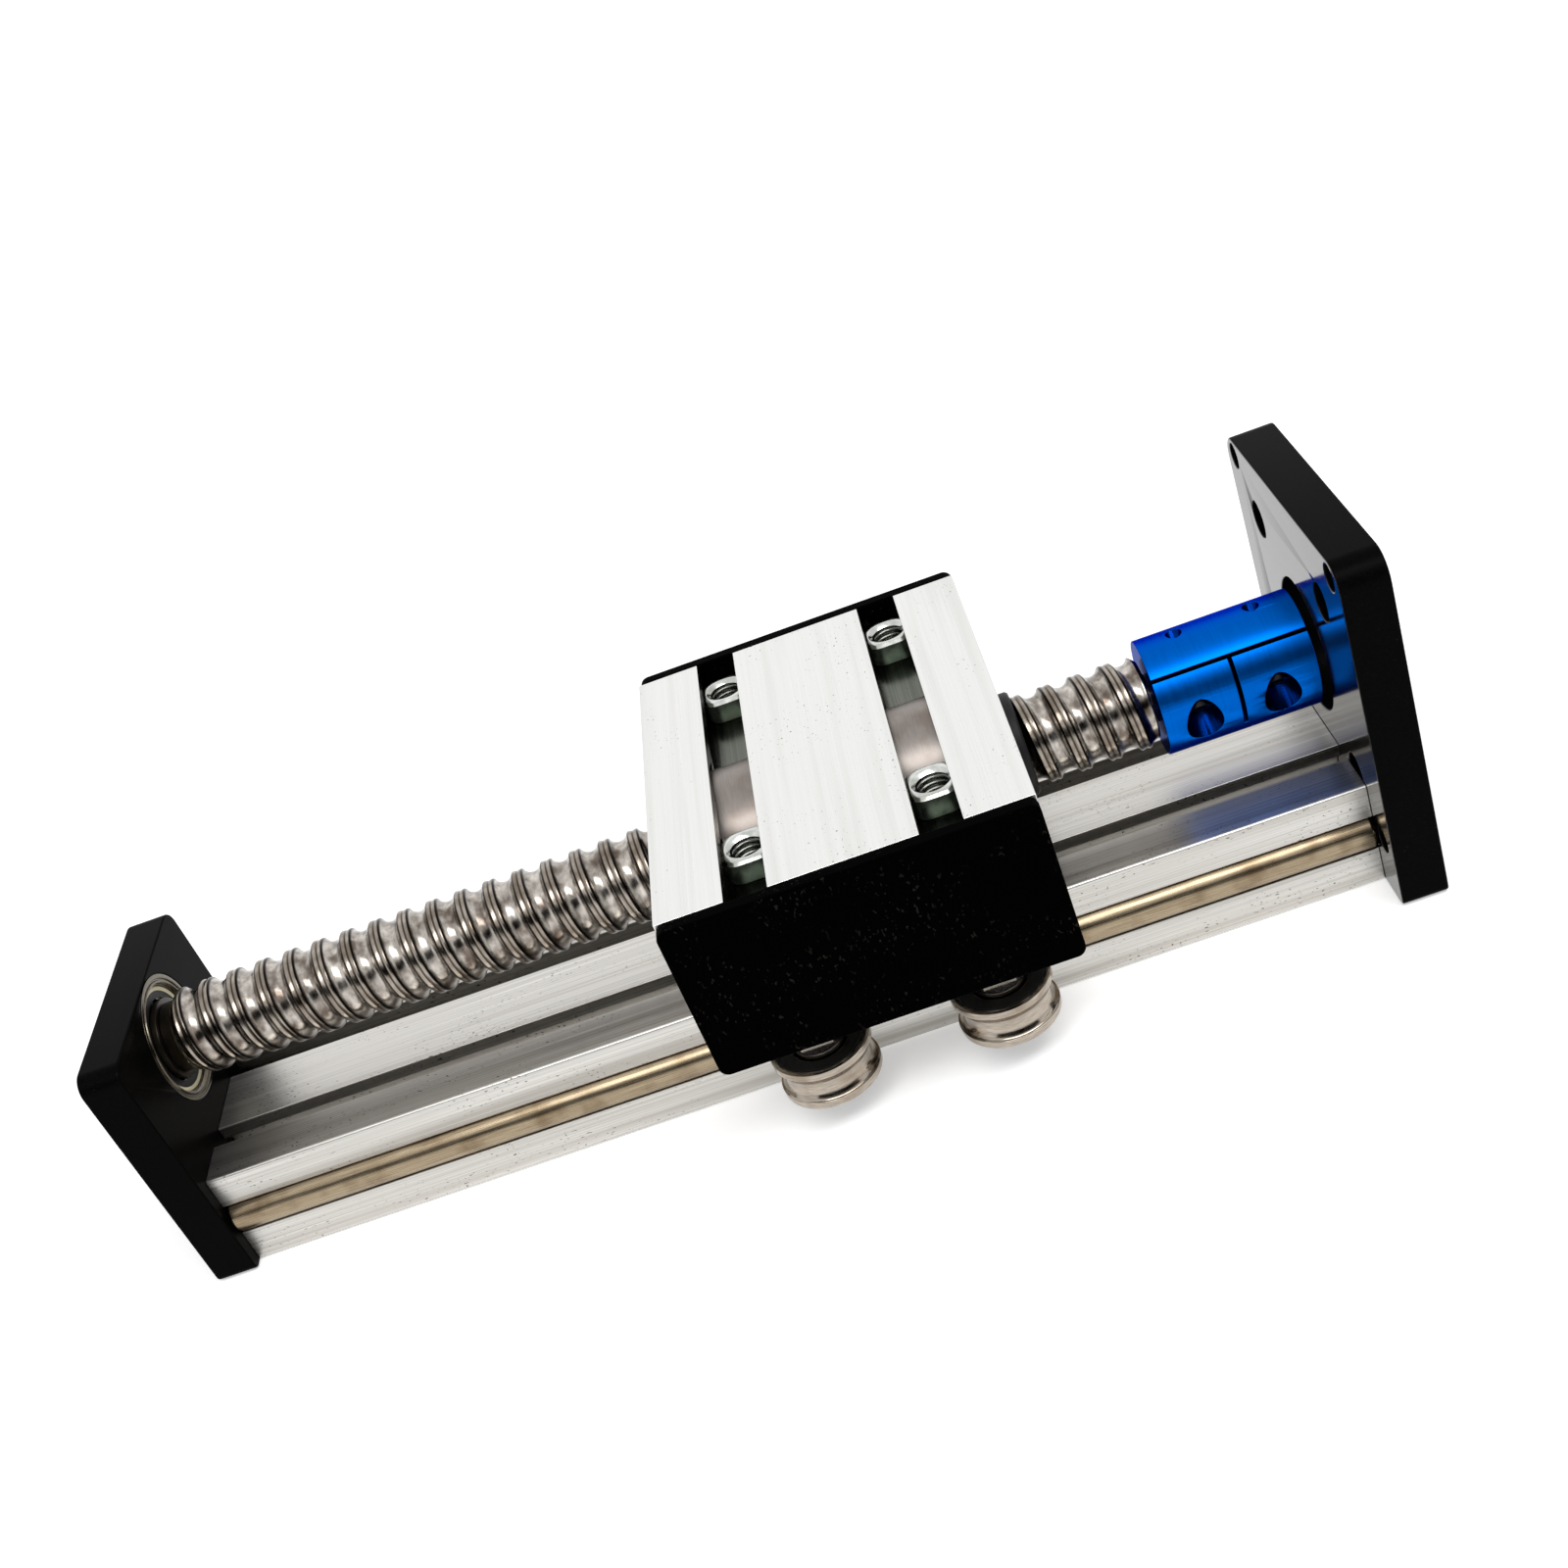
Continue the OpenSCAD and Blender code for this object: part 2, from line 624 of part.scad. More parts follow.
module nut_set_screws() {
  color("#2a2a2c") for (side = [0, 1]) mirror([0, side, 0])
    translate([carriage_x, -nut_r - 0.02, screw_z]) rotate([90, 0, 0]) difference() {
      cylinder(r = set_screw_r, h = set_screw_length);
      translate([0, 0, set_screw_length - 2]) cylinder(r = 1.15, h = 3, $fn = 6);
    }
}

// Places a child on the axis of each roller of one side, or of both.
module at_rollers(sides) {
  for (side = sides, x = slot_xs) translate([x, side * roller_y, 0]) children();
}

module roller_bolts() {
  color("#2a2a2c") at_rollers([-1, 1]) difference() {
    union() {
      translate([0, 0, roller_bolt_head_z[0]])
        cylinder(r1 = roller_bolt_head_r - 1.2, r2 = roller_bolt_head_r, h = 1.2);
      translate([0, 0, roller_bolt_head_z[0] + 1.2]) cylinder(r = roller_bolt_head_r, h = 1.6);
      translate([0, 0, roller_bolt_head_z[1]]) cylinder(r = roller_bolt_r, h = 19.2);
    }
    translate([0, 0, roller_bolt_head_z[0] - 1]) cylinder(r = 1.73, h = 2.6, $fn = 6);
  }
}

module roller_foot_nuts() {
  color("#9a9c92") at_rollers([-1, 1]) difference() {
    translate([-foot_nut_size[0] / 2, -foot_nut_size[1] / 2, foot_nut_z[0]])
      cube([foot_nut_size[0], foot_nut_size[1], foot_nut_z[1] - foot_nut_z[0]]);
    cylinder(r = roller_bolt_r + same_body_gap, h = foot_nut_z[1] + 1);
  }
}

module fixed_spacers() {
  color("#b0aea8") at_rollers([1]) difference() {
    translate([0, 0, roller_ring_z[1]]) cylinder(r = spacer_r, h = carriage_bottom - roller_ring_z[1]);
    cylinder(r = roller_bolt_r + same_body_gap, h = carriage_bottom + 1);
  }
}

// The near rollers hang on six-sided spacers, which are turned to press the rollers on the rod.
module eccentric_spacers() {
  color("#b0aea8") at_rollers([-1]) difference() {
    union() {
      translate([0, 0, roller_ring_z[1]]) cylinder(r = spacer_r, h = 1.5);
      translate([0, 0, roller_ring_z[1] + 1.5])
        cylinder(r = 5.2, h = carriage_bottom - roller_ring_z[1] - 1.5, $fn = 6);
    }
    cylinder(r = roller_bolt_r + same_body_gap, h = carriage_bottom + 1);
  }
}

module roller_inner_rings() {
  color("#8f8c84") at_rollers([-1, 1]) translate([0, 0, rod_z]) difference() {
    union() {
      race_ring(roller_inner_land_r, roller_bolt_r + same_body_gap, 5, roller_pitch_r,
        roller_ball_r + same_body_gap);
      for (side = [0, 1]) mirror([0, 0, side]) translate([0, 0, 2.5]) cylinder(r = roller_inner_r, h = 1.5);
    }
    cylinder(r = roller_bolt_r + same_body_gap, h = 20, center = true);
  }
}

module roller_balls() {
  color("#c8c8c8") at_rollers([-1, 1]) for (i = [0 : roller_balls_count - 1])
    rotate([0, 0, i * 360 / roller_balls_count]) translate([roller_pitch_r, 0, rod_z])
      sphere(r = roller_ball_r);
}

// One roller's outer ring with the groove that runs on the rod.
module roller(x, side) {
  color("#8f8a80") translate([x, side * roller_y, rod_z]) difference() {
    race_ring(roller_r, roller_outer_land_r, roller_height, roller_pitch_r, roller_ball_r + 0.3);
    rotate_extrude() translate([roller_y - rod_y, 0]) circle(r = roller_groove_r);
    for (end = [0, 1]) mirror([0, 0, end]) translate([0, 0, roller_height / 2 - roller_seal_recess])
      cylinder(r = roller_seal_r, h = 1);
  }
}

module roller_seals(x, side) {
  color("#101010") translate([x, side * roller_y, rod_z]) for (end = [0, 1]) mirror([0, 0, end])
    translate([0, 0, roller_height / 2 - roller_seal_recess]) difference() {
      cylinder(r = roller_seal_r, h = roller_seal_thickness);
      translate([0, 0, -1]) cylinder(r = roller_seal_inner_r, h = 3);
    }
}

module roller_near_left() {
  roller(slot_xs[0], -1);
}

module roller_near_left_seals() {
  roller_seals(slot_xs[0], -1);
}

module roller_near_right() {
  roller(slot_xs[1], -1);
}

module roller_near_right_seals() {
  roller_seals(slot_xs[1], -1);
}

module roller_far_left() {
  roller(slot_xs[0], 1);
}

module roller_far_left_seals() {
  roller_seals(slot_xs[0], 1);
}

module roller_far_right() {
  roller(slot_xs[1], 1);
}

module roller_far_right_seals() {
  roller_seals(slot_xs[1], 1);
}

// A round-cornered nut that slides in a carriage slot, below the lips.
module slot_nut(x, y) {
  color("#9aa096") translate([x + slot_nut_shift, y, 0]) difference() {
    translate([0, 0, slot_nut_z[0]])
      rounded_block(slot_nut_size[0], slot_nut_size[1], slot_nut_z[1] - slot_nut_z[0], slot_nut_corner);
    cylinder(r = slot_nut_hole_r, h = slot_nut_z[1] + 1);
    translate([0, 0, slot_nut_z[1] - slot_nut_chamfer])
      cylinder(r1 = slot_nut_hole_r, r2 = slot_nut_mouth_r + eps, h = slot_nut_chamfer + eps);
  }
}

module slot_nut_near_left() {
  slot_nut(slot_xs[0], slot_nut_near_y);
}

module slot_nut_near_right() {
  slot_nut(slot_xs[1], slot_nut_near_y);
}

module slot_nut_far_left() {
  slot_nut(slot_xs[0], slot_nut_far_y);
}

module slot_nut_far_right() {
  slot_nut(slot_xs[1], slot_nut_far_y);
}

base_profile();
guide_rod_near();
guide_rod_far();
bearing_plate();
bearing_plate_screws();
bearing_outer_ring();
bearing_shields();
motor_plate();
motor_plate_screws();
ball_screw();
bearing_inner_ring();
bearing_balls();
end_washer();
end_screw();
coupling();
coupling_screws();
carriage_block();
cover_near();
cover_far();
ball_nut();
nut_wipers();
nut_balls();
ball_returns();
nut_set_screws();
roller_bolts();
roller_foot_nuts();
fixed_spacers();
eccentric_spacers();
roller_inner_rings();
roller_balls();
roller_near_left();
roller_near_left_seals();
roller_near_right();
roller_near_right_seals();
roller_far_left();
roller_far_left_seals();
roller_far_right();
roller_far_right_seals();
slot_nut_near_left();
slot_nut_near_right();
slot_nut_far_left();
slot_nut_far_right();
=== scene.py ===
# %% [markdown]
# # A ball screw linear module
# This lesson dresses a finished set of solids in Blender. The solids come from one shared frame, in
# metres: X runs along the screw, Z is up, and the origin is the middle of the profile's underside.
# Nothing here changes a size. Each cell makes one piece or one finish, and prints what it made.

import json
import math

import bmesh
import bpy
from mathutils import Matrix, Vector


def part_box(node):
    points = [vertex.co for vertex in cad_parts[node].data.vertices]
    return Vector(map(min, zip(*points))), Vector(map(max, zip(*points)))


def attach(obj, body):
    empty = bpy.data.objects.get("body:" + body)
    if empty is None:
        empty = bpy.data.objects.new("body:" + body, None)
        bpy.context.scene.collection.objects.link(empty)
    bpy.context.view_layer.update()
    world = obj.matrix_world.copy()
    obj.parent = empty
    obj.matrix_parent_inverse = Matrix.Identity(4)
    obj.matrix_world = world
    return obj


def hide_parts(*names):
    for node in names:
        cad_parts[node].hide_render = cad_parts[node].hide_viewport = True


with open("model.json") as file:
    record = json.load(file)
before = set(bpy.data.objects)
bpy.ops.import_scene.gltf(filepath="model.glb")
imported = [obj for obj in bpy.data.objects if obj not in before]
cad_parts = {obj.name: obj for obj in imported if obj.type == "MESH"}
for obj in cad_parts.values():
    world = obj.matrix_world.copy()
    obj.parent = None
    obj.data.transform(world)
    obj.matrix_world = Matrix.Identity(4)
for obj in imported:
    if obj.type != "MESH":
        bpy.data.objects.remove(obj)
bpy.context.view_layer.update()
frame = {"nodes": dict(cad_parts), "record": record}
body_of_node = {}
for body, nodes in frame["record"]["behaviour"]["bodies"].items():
    for node in nodes:
        body_of_node[node] = body
slot_of_node = {part["node"]: part["material_slot"] for part in frame["record"]["subparts"]}

# %% [markdown]
# ## Places that the frame gives
# A piece made here stands for a solid and has to fit where that solid was, so its place is read from
# the solid's box. The screw's axis and the four rollers give the place of most small pieces: the two
# slots across the carriage lie right above the rollers.

# %% Places in millimetres
MM = 0.001


def edges_mm(node):
    """The lowest and highest corner of a node, in mm."""
    low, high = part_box(node)
    return [v / MM for v in low], [v / MM for v in high]


def middle_mm(node):
    """The middle of a node's box, in mm."""
    low, high = edges_mm(node)
    return [(a + b) / 2 for a, b in zip(low, high)]


screw_z = middle_mm("ball_screw")[2]
slots_x = [middle_mm(node)[0] for node in ("roller_far_left", "roller_far_right")]
roller_y, roller_z = middle_mm("roller_far_left")[1:]
print("screw at z", round(screw_z, 2), "mm, slots at x", [round(x, 2) for x in slots_x], "mm")

# %% [markdown]
# ## Two helpers for colour and nodes
# Colours are written the way a picture editor shows them, as sRGB hex, and Blender wants them linear,
# so one function turns them. Every shader or geometry node is added by one small function that sets
# its values and makes its links, which keeps each material readable as a list.

# %% Colour and node helpers
MATH = "ShaderNodeMath"
RANGE = "ShaderNodeMapRange"


def colour(code):
    """An sRGB hex colour as linear red, green, blue and alpha."""
    parts = [int(code[i : i + 2], 16) / 255 for i in (1, 3, 5)]
    return [c / 12.92 if c <= 0.04045 else ((c + 0.055) / 1.055) ** 2.4 for c in parts] + [1.0]


def add(tree, kind, inputs=None, **settings):
    """Adds a node. An input takes a value, a socket, or a node, whose first output is then linked."""
    made = tree.nodes.new(kind)
    for name, value in settings.items():
        setattr(made, name, value)
    for key, value in (inputs or {}).items():
        if isinstance(value, bpy.types.Node):
            value = [output for output in value.outputs if output.enabled][0]
        if isinstance(value, bpy.types.NodeSocket):
            tree.links.new(value, made.inputs[key])
        else:
            made.inputs[key].default_value = value
    return made


print("grey 50% is linear", round(colour("#808080")[0], 3))

# %% [markdown]
# ## Patterns in millimetres
# Machined and drawn metal is never one flat colour. A noise texture stretched along one direction
# gives the fine lines a die or a cutter leaves, and the same noise with equal sizes gives stains.
# Specks of dirt and small dents are the peaks of one noise, kept only where a broader noise is high,
# so that they come in clusters. All read Object coordinates, so a pattern is placed by real lengths.


# %% Pattern helpers
def grain(tree, size_mm, seed=0.0, detail=3.0):
    """Noise whose blobs are size_mm = (x, y, z) across, near 0.5 on average."""
    here = add(tree, "ShaderNodeTexCoord").outputs["Object"]
    scale = [1 / (size * MM) for size in size_mm]
    laid = add(tree, "ShaderNodeMapping", {"Vector": here, "Location": (seed,) * 3, "Scale": scale})
    return add(tree, "ShaderNodeTexNoise", {"Vector": laid, "Scale": 1.0, "Detail": detail})


def flecks(tree, size_mm, cluster_mm, rarity, strength, seed=0.0):
    """Specks in clusters, from 0 to strength. The higher the rarity, the fewer."""
    fleck = grain(tree, size_mm, seed=seed, detail=1.0)
    peak = {"Value": fleck, "From Min": rarity, "From Max": rarity + 0.06, "To Max": strength}
    cluster = grain(tree, cluster_mm, seed=seed + 7.0, detail=2.0)
    cloud = {"Value": cluster, "From Min": 0.47, "From Max": 0.6}
    return add(tree, MATH, {0: add(tree, RANGE, peak), 1: add(tree, RANGE, cloud)}, operation="MULTIPLY")


def shaded(tree, pattern, first, second, low=0.3, high=0.7, most=1.0):
    """Paint, or a hex colour, that goes from first to second as the pattern goes low to high."""
    first, second = [colour(tone) if isinstance(tone, str) else tone for tone in (first, second)]
    part = add(tree, RANGE, {"Value": pattern, "From Min": low, "From Max": high, "To Max": most})
    return add(tree, "ShaderNodeMix", {"Factor": part, "A": first, "B": second}, data_type="RGBA")


finishes = {}


def finish(name, **uniform):
    """A new material's tree. uniform sets the shader's sockets that are the same all over."""
    material = bpy.data.materials.new(name)
    material.use_nodes = True
    shader = material.node_tree.nodes["Principled BSDF"]
    for socket, value in uniform.items():
        shader.inputs[socket.replace("_", " ")].default_value = value
    finishes[name] = material
    return material.node_tree


def lay_on(tree, paint, pattern, rough, relief_mm=0.0):
    """Joins paint, roughness and relief to the shader. Roughness and relief follow the pattern."""
    shader = tree.nodes["Principled BSDF"]
    tree.links.new(paint.outputs["Result"], shader.inputs["Base Color"])
    spread = {"Value": pattern, "From Min": 0.3, "From Max": 0.7, "To Min": rough[0], "To Max": rough[1]}
    tree.links.new(add(tree, RANGE, spread).outputs["Result"], shader.inputs["Roughness"])
    if relief_mm:
        bump = add(tree, "ShaderNodeBump", {"Height": pattern, "Distance": relief_mm * MM, "Strength": 0.35})
        tree.links.new(bump.outputs["Normal"], shader.inputs["Normal"])


print("pattern helpers ready")

# %% [markdown]
# ## Drawn aluminium
# The base profile is pressed through a die, and every flaw of the die draws a line along its whole
# length. The eye sees a bright satin with long streaks, grey ones among white, and dark nicks.

# %% Drawn aluminium
tree = finish("drawn_aluminium", Metallic=1.0)
die_lines = grain(tree, (70, 0.25, 0.25), detail=4.0)
broad_lines = grain(tree, (160, 1.6, 1.6), seed=3.0, detail=2.0)
paint = shaded(tree, die_lines, "#b4b1ab", "#dbd9d5")
paint = shaded(tree, broad_lines, paint, "#a6a199", 0.5, 0.7, 0.6)
nicks = flecks(tree, (0.7, 0.35, 0.35), (14, 5, 5), 0.66, 0.9, seed=7.0)
paint = shaded(tree, nicks, paint, "#3c372f", 0.0, 1.0)
lay_on(tree, paint, die_lines, (0.3, 0.4), 0.008)
print("drawn aluminium: lines 0.25 mm apart")

# %% [markdown]
# ## Satin aluminium
# The carriage is cut from another profile that was drawn across the screw, then etched, which leaves it
# whiter and duller. It has faint lines along Y and small grey pits. The same finish is made again, much
# darker, for the slots' walls and floors: partly cutting oil and dust, partly painted shade where little
# light gets in. Where a slot cuts into the ball nut's bore, a near-black rim is painted round the nut, a
# painted shade for the gap there.


# %% Satin aluminium
def satin(name, dark, light, band, rough=(0.26, 0.32), grease_to_mm=0.0):
    """Drawn and etched aluminium. Nearer to the screw's axis than the given radius in mm, a near-black
    painted shade lies on it.
    """
    tree = finish(name, Metallic=1.0)
    die_lines = grain(tree, (0.3, 60, 0.3), detail=4.0)
    broad_lines = grain(tree, (2.4, 110, 2.4), seed=5.0, detail=2.0)
    paint = shaded(tree, die_lines, dark, light)
    paint = shaded(tree, broad_lines, paint, band, 0.5, 0.7, 0.5)
    pits = flecks(tree, (0.5, 0.65, 0.5), (11, 11, 11), 0.69, 0.95, seed=9.0)
    paint = shaded(tree, pits, paint, "#4a453d", 0.0, 1.0)
    if grease_to_mm:
        here = add(tree, "ShaderNodeTexCoord").outputs["Object"]
        across = add(tree, "ShaderNodeVectorMath", {0: here, 1: (0, 1, 1)}, operation="MULTIPLY")
        axis = (0, 0, screw_z * MM)
        out = add(tree, "ShaderNodeVectorMath", {0: across, 1: axis}, operation="DISTANCE")
        # painted shade: near black round the nut, for the gap between nut and carriage
        paint = shaded(tree, out, "#0c0a08", paint, (grease_to_mm - 0.2) * MM, grease_to_mm * MM)
    lay_on(tree, paint, die_lines, rough, 0.002)


satin("satin_aluminium", "#d8d8d6", "#dfdfdd", "#cbcac7")
# a darker copy for the slots' walls and floors: partly oil and dust, partly painted shade
satin("oiled_aluminium", "#4a4d46", "#6a6d64", "#3d3f38", rough=(0.16, 0.24), grease_to_mm=13.7)
print("satin aluminium: lines 0.3 mm apart, along Y, and the same with oil in it")

# %% [markdown]
# ## Black anodised aluminium
# The end plates are dyed black and sealed. The motor plate's two faces are fly-cut smooth, and at a
# low angle the clear oxide on them turns to a mirror. The rims and the whole bearing plate are
# blasted before they are dyed, and show almost no reflection. Both have the same nodes.


# %% Black anodised aluminium
def black_oxide(name, reflection, rough):
    """A black oxide skin: reflection is its strength head on, rough its dullness."""
    tree = finish(name, Metallic=0.0, IOR=1.5, Specular_IOR_Level=reflection)
    cutter = grain(tree, (0.3, 12, 0.3))
    paint = shaded(tree, cutter, "#030303", "#080707")
    dust = flecks(tree, (0.3, 0.3, 0.3), (9, 9, 9), 0.72, 0.3, seed=4.0)
    paint = shaded(tree, dust, paint, "#4a463f", 0.0, 1.0)
    lay_on(tree, paint, cutter, (rough, rough + 0.06))


black_oxide("black_anodised", 0.52, 0.1)
black_oxide("black_anodised_blasted", 0.015, 0.3)
print("black anodised: fly-cut and blasted")

# %% [markdown]
# ## Blue anodised aluminium
# The coupling is turned and dyed blue. The dye sits in a thin clear layer over bright metal, so even its
# highlights are blue: a metal with a blue base colour, and a blue tint for its edges. Turning leaves fine
# rings round it. In the bores, the slits and on the sawn ends a darker blue is painted, a painted shade for
# these hollows.

# %% Blue anodised aluminium
blue_glint = colour("#2f62c8")
tree = finish("blue_anodised", Metallic=1.0, Specular_Tint=blue_glint)
turning = grain(tree, (0.12, 6, 6))
lay_on(tree, shaded(tree, turning, "#0054b0", "#005cbe"), turning, (0.3, 0.36), 0.003)
# painted shade: a darker blue for the coupling's bores, slits, pockets and ends
tree = finish("blue_anodised_bores", Metallic=1.0, Specular_Tint=blue_glint)
tool_marks = grain(tree, (0.2, 0.2, 0.2))
lay_on(tree, shaded(tree, tool_marks, "#001d5e", "#00297a"), tool_marks, (0.18, 0.26))
print("blue anodised: turning lines 0.12 mm apart, and a darker dye in bores and slits")

# %% [markdown]
# ## Black covers
# The two side covers are smooth black sheet, and they carry a little grey dust and rubbed patches.

# %% Black cover sheet
tree = finish("black_cover", Metallic=0.0, IOR=1.45, Specular_IOR_Level=0.004)
rubbed = grain(tree, (11, 11, 4), seed=8.0)
dust = flecks(tree, (0.5, 0.5, 0.9), (9, 9, 9), 0.66, 0.2, seed=1.0)
lay_on(tree, shaded(tree, dust, "#010101", "#4a463f", 0.0, 1.0), rubbed, (0.3, 0.45))
print("black cover: dust specks 0.5 mm")

# %% [markdown]
# ## Turned and ground steels
# Rods, journals, nut, bearings and rollers are all steel, and differ in tint and in how fine their
# surface is. One function makes them: tone and roughness vary with fine noise, and faint warm stains
# lie over it, as on oiled steel.


# %% Steel finishes
def steel(name, dark, light, stain, rough, lines_mm, relief_mm=0.006):
    """A ground or turned steel from two tones and a stain."""
    tree = finish(name, Metallic=1.0)
    lines = grain(tree, lines_mm)
    paint = shaded(tree, lines, dark, light)
    stains = grain(tree, (5, 5, 5), seed=13.0)
    paint = shaded(tree, stains, paint, stain, 0.48, 0.72, 0.6)
    lay_on(tree, paint, lines, (rough, rough + 0.08), relief_mm)


steel("rod_steel", "#7f6f58", "#b0a188", "#624d35", 0.24, (8, 0.1, 0.1), 0.003)
# painted shade: very dark steel for the journal and inner ring deep in the bearing's bore
steel("journal_steel", "#2b2825", "#45403b", "#2e2721", 0.3, (0.12, 3, 3), 0.002)
steel("nut_steel", "#817b76", "#928b86", "#74675e", 0.34, (0.1, 3, 3), 0.002)
steel("bearing_steel", "#4e4a42", "#726b5e", "#4a4236", 0.16, (0.3, 0.3, 0.3))
steel("roller_steel", "#8a8074", "#bdb3a6", "#786652", 0.12, (2, 2, 0.1))
steel("spacer_steel", "#8d8a84", "#b0ada7", "#777062", 0.22, (2, 2, 0.15))
steel("ball_steel", "#c9c9c9", "#e0e0e0", "#b4b0aa", 0.08, (1, 1, 1), 0.0)
steel("zinc_steel", "#77837a", "#a1ada2", "#7f8474", 0.38, (1.5, 1.5, 1.5), 0.0)
steel("thread_steel", "#6a6c68", "#8b8d88", "#5c5a52", 0.2, (1.5, 1.5, 1.5), 0.0)
# painted highlight: a lighter steel for the slot nuts' tops
steel("cut_steel", "#b9bcb8", "#d9dbd7", "#99998f", 0.14, (1.5, 1.5, 1.5), 0.0)
steel("black_screw", "#0d0d0f", "#1a1a1d", "#24211d", 0.3, (0.4, 0.4, 0.4))
print("steels", sorted(name for name in finishes if name.endswith("steel")))

# %% [markdown]
# ## The screw's rolled steel
# The screw's thread is bright in the groove, where the balls run, and browner on the crest. A thin dark line
# is painted along each edge of the groove and in the seam on the crest, a painted shade for these creases.
# The finish finds them by each point's distance from the middle of the groove.

# %% Screw steel
SEAM_FROM_GROOVE = 2.4
EDGE_FROM_GROOVE = 1.62
tree = finish("screw_steel", Metallic=1.0)
from_groove = add(tree, "ShaderNodeAttribute", attribute_name="from_groove").outputs["Fac"]
waves = grain(tree, (1.4, 2.2, 2.2), detail=2.0)
stains = grain(tree, (3, 4, 4), seed=13.0)
paint = shaded(tree, waves, "#7c756e", "#cdc7bf")
paint = shaded(tree, stains, paint, "#4e3d30", 0.48, 0.66, 0.8)
paint = shaded(tree, from_groove, paint, "#857a6d", 1.5 * MM, 1.7 * MM, 0.6)
# painted shade: a thin dark line along each edge of the groove
from_edge = add(tree, MATH, {0: from_groove, 1: EDGE_FROM_GROOVE * MM}, operation="SUBTRACT")
from_edge = add(tree, MATH, {0: from_edge}, operation="ABSOLUTE")
paint = shaded(tree, from_edge, "#120e0b", paint, 0.1 * MM, 0.26 * MM)
# painted shade in the seam along the crest
seam_starts = (SEAM_FROM_GROOVE - 0.12) * MM
paint = shaded(tree, from_groove, paint, "#241c16", seam_starts, SEAM_FROM_GROOVE * MM, 0.85)
lay_on(tree, paint, waves, (0.16, 0.26), 0.02)
print("screw steel: dark lines", EDGE_FROM_GROOVE, "mm from the groove's middle")

# %% [markdown]
# ## Plastic and rubber
# The bearing's shields are cream plastic with a moulded skin. Seals and wipers are black rubber, which is
# duller and shows a fine matt grain. A near-black skin is painted into the gap round the ball nut, as a
# painted shade.


# %% Plastic, rubber and painted gap shade
def soft_skin(name, dark, light, grain_mm, rough, relief_mm=0.0, **uniform):
    """A moulded or smeared skin of two close tones, with an even matt grain."""
    tree = finish(name, Metallic=0.0, **uniform)
    skin = grain(tree, (grain_mm,) * 3, detail=2.0)
    lay_on(tree, shaded(tree, skin, dark, light), skin, rough, relief_mm)


soft_skin("bearing_shield", "#e8dcae", "#f4ebc9", 0.3, (0.35, 0.5), IOR=1.5)
soft_skin("black_rubber", "#080808", "#131313", 0.15, (0.45, 0.6), 0.02, IOR=1.52, Specular_IOR_Level=0.25)
# painted shade, near black, for the gap round the ball nut
soft_skin("old_grease", "#0c0a08", "#1d1813", 0.5, (0.5, 0.7), 0.01, IOR=1.48, Specular_IOR_Level=0.1)
print("finishes", len(finishes))

# %% [markdown]
# ## Dressing a solid
# Sawn, milled and moulded pieces keep the solid's shape. The solid's mesh is loose triangles, so a
# copy is merged first and its flat faces joined. A narrow Bevel then breaks the sharp edges, as a
# file or the tumbler does on the real piece, and it is this edge that catches the light.


# %% Dress a solid
def set_down(name, data):
    """A new object in the scene, at the origin."""
    thing = bpy.data.objects.new(name, data)
    bpy.context.collection.objects.link(thing)
    return thing


def place(piece, nodes, shade=None):
    """Gives a finished piece its material, and lets it stand for these nodes of the frame."""
    if not piece.data.materials:
        piece.data.materials.append(finishes[shade or slot_of_node[nodes[0]]])
    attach(piece, body_of_node[nodes[0]])
    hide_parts(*nodes)
    return piece


def dress(node, edge_mm):
    """A merged copy of a node's mesh with its edges broken by edge_mm."""
    mesh = frame["nodes"][node].data.copy()
    mesh.materials.clear()
    work = bmesh.new()
    work.from_mesh(mesh)
    bmesh.ops.remove_doubles(work, verts=work.verts, dist=0.002 * MM)
    bmesh.ops.dissolve_limit(work, angle_limit=math.radians(0.6), verts=work.verts, edges=work.edges)
    work.to_mesh(mesh)
    work.free()
    sharp = math.radians(35)
    mesh.shade_smooth()
    mesh.set_sharp_from_angle(angle=sharp)
    piece = set_down(node + "_dressed", mesh)
    bevel = piece.modifiers.new("broken_edges", "BEVEL")
    bevel.width = edge_mm * MM
    bevel.segments = 2
    bevel.limit_method = "ANGLE"
    bevel.angle_limit = sharp
    bevel.use_clamp_overlap = False
    bevel.harden_normals = True
    return piece


edges = {
    "base_profile": 0.12, "bearing_plate": 0.3, "motor_plate": 0.3, "cover_near": 0.35, "cover_far": 0.35,
    "carriage_block": 0.12, "coupling": 0.12, "coupling_screws": 0.06, "end_screw": 0.08,
    "ball_nut": 0.15, "nut_set_screws": 0.05, "ball_returns": 0.1, "roller_foot_nuts": 0.15,
    "eccentric_spacers": 0.12,
}
dressed = {}
for node, edge in edges.items():
    shade = "black_anodised_blasted" if node == "bearing_plate" else None
    dressed[node] = place(dress(node, edge), [node], shade)
    print(node, "edges", edge, "mm,", len(dressed[node].data.polygons), "faces")

# %% [markdown]
# ## A second finish on some faces
# The motor plate's rim is blasted and its two faces are not. The carriage's slots are darker, partly oil and
# partly painted shade, a near-black painted shade lies round the nut, and the coupling is painted darker
# inside, a painted shade for its hollows. A face takes a finish by its number in the piece's list, so a
# short rule for each piece picks the number from the face's place or way.


# %% Second finishes
GAP_SHADE_RADIUS = 13.35
SLOT_REACH = 5.3
SLOT_FLOOR, SLOT_MOUTH = 40, 47.5
COUPLING_SKIN = 9.1


def from_axis(face):
    """How far a face lies from the screw's axis, in mm."""
    return math.hypot(face.center.y, face.center.z - screw_z * MM) / MM


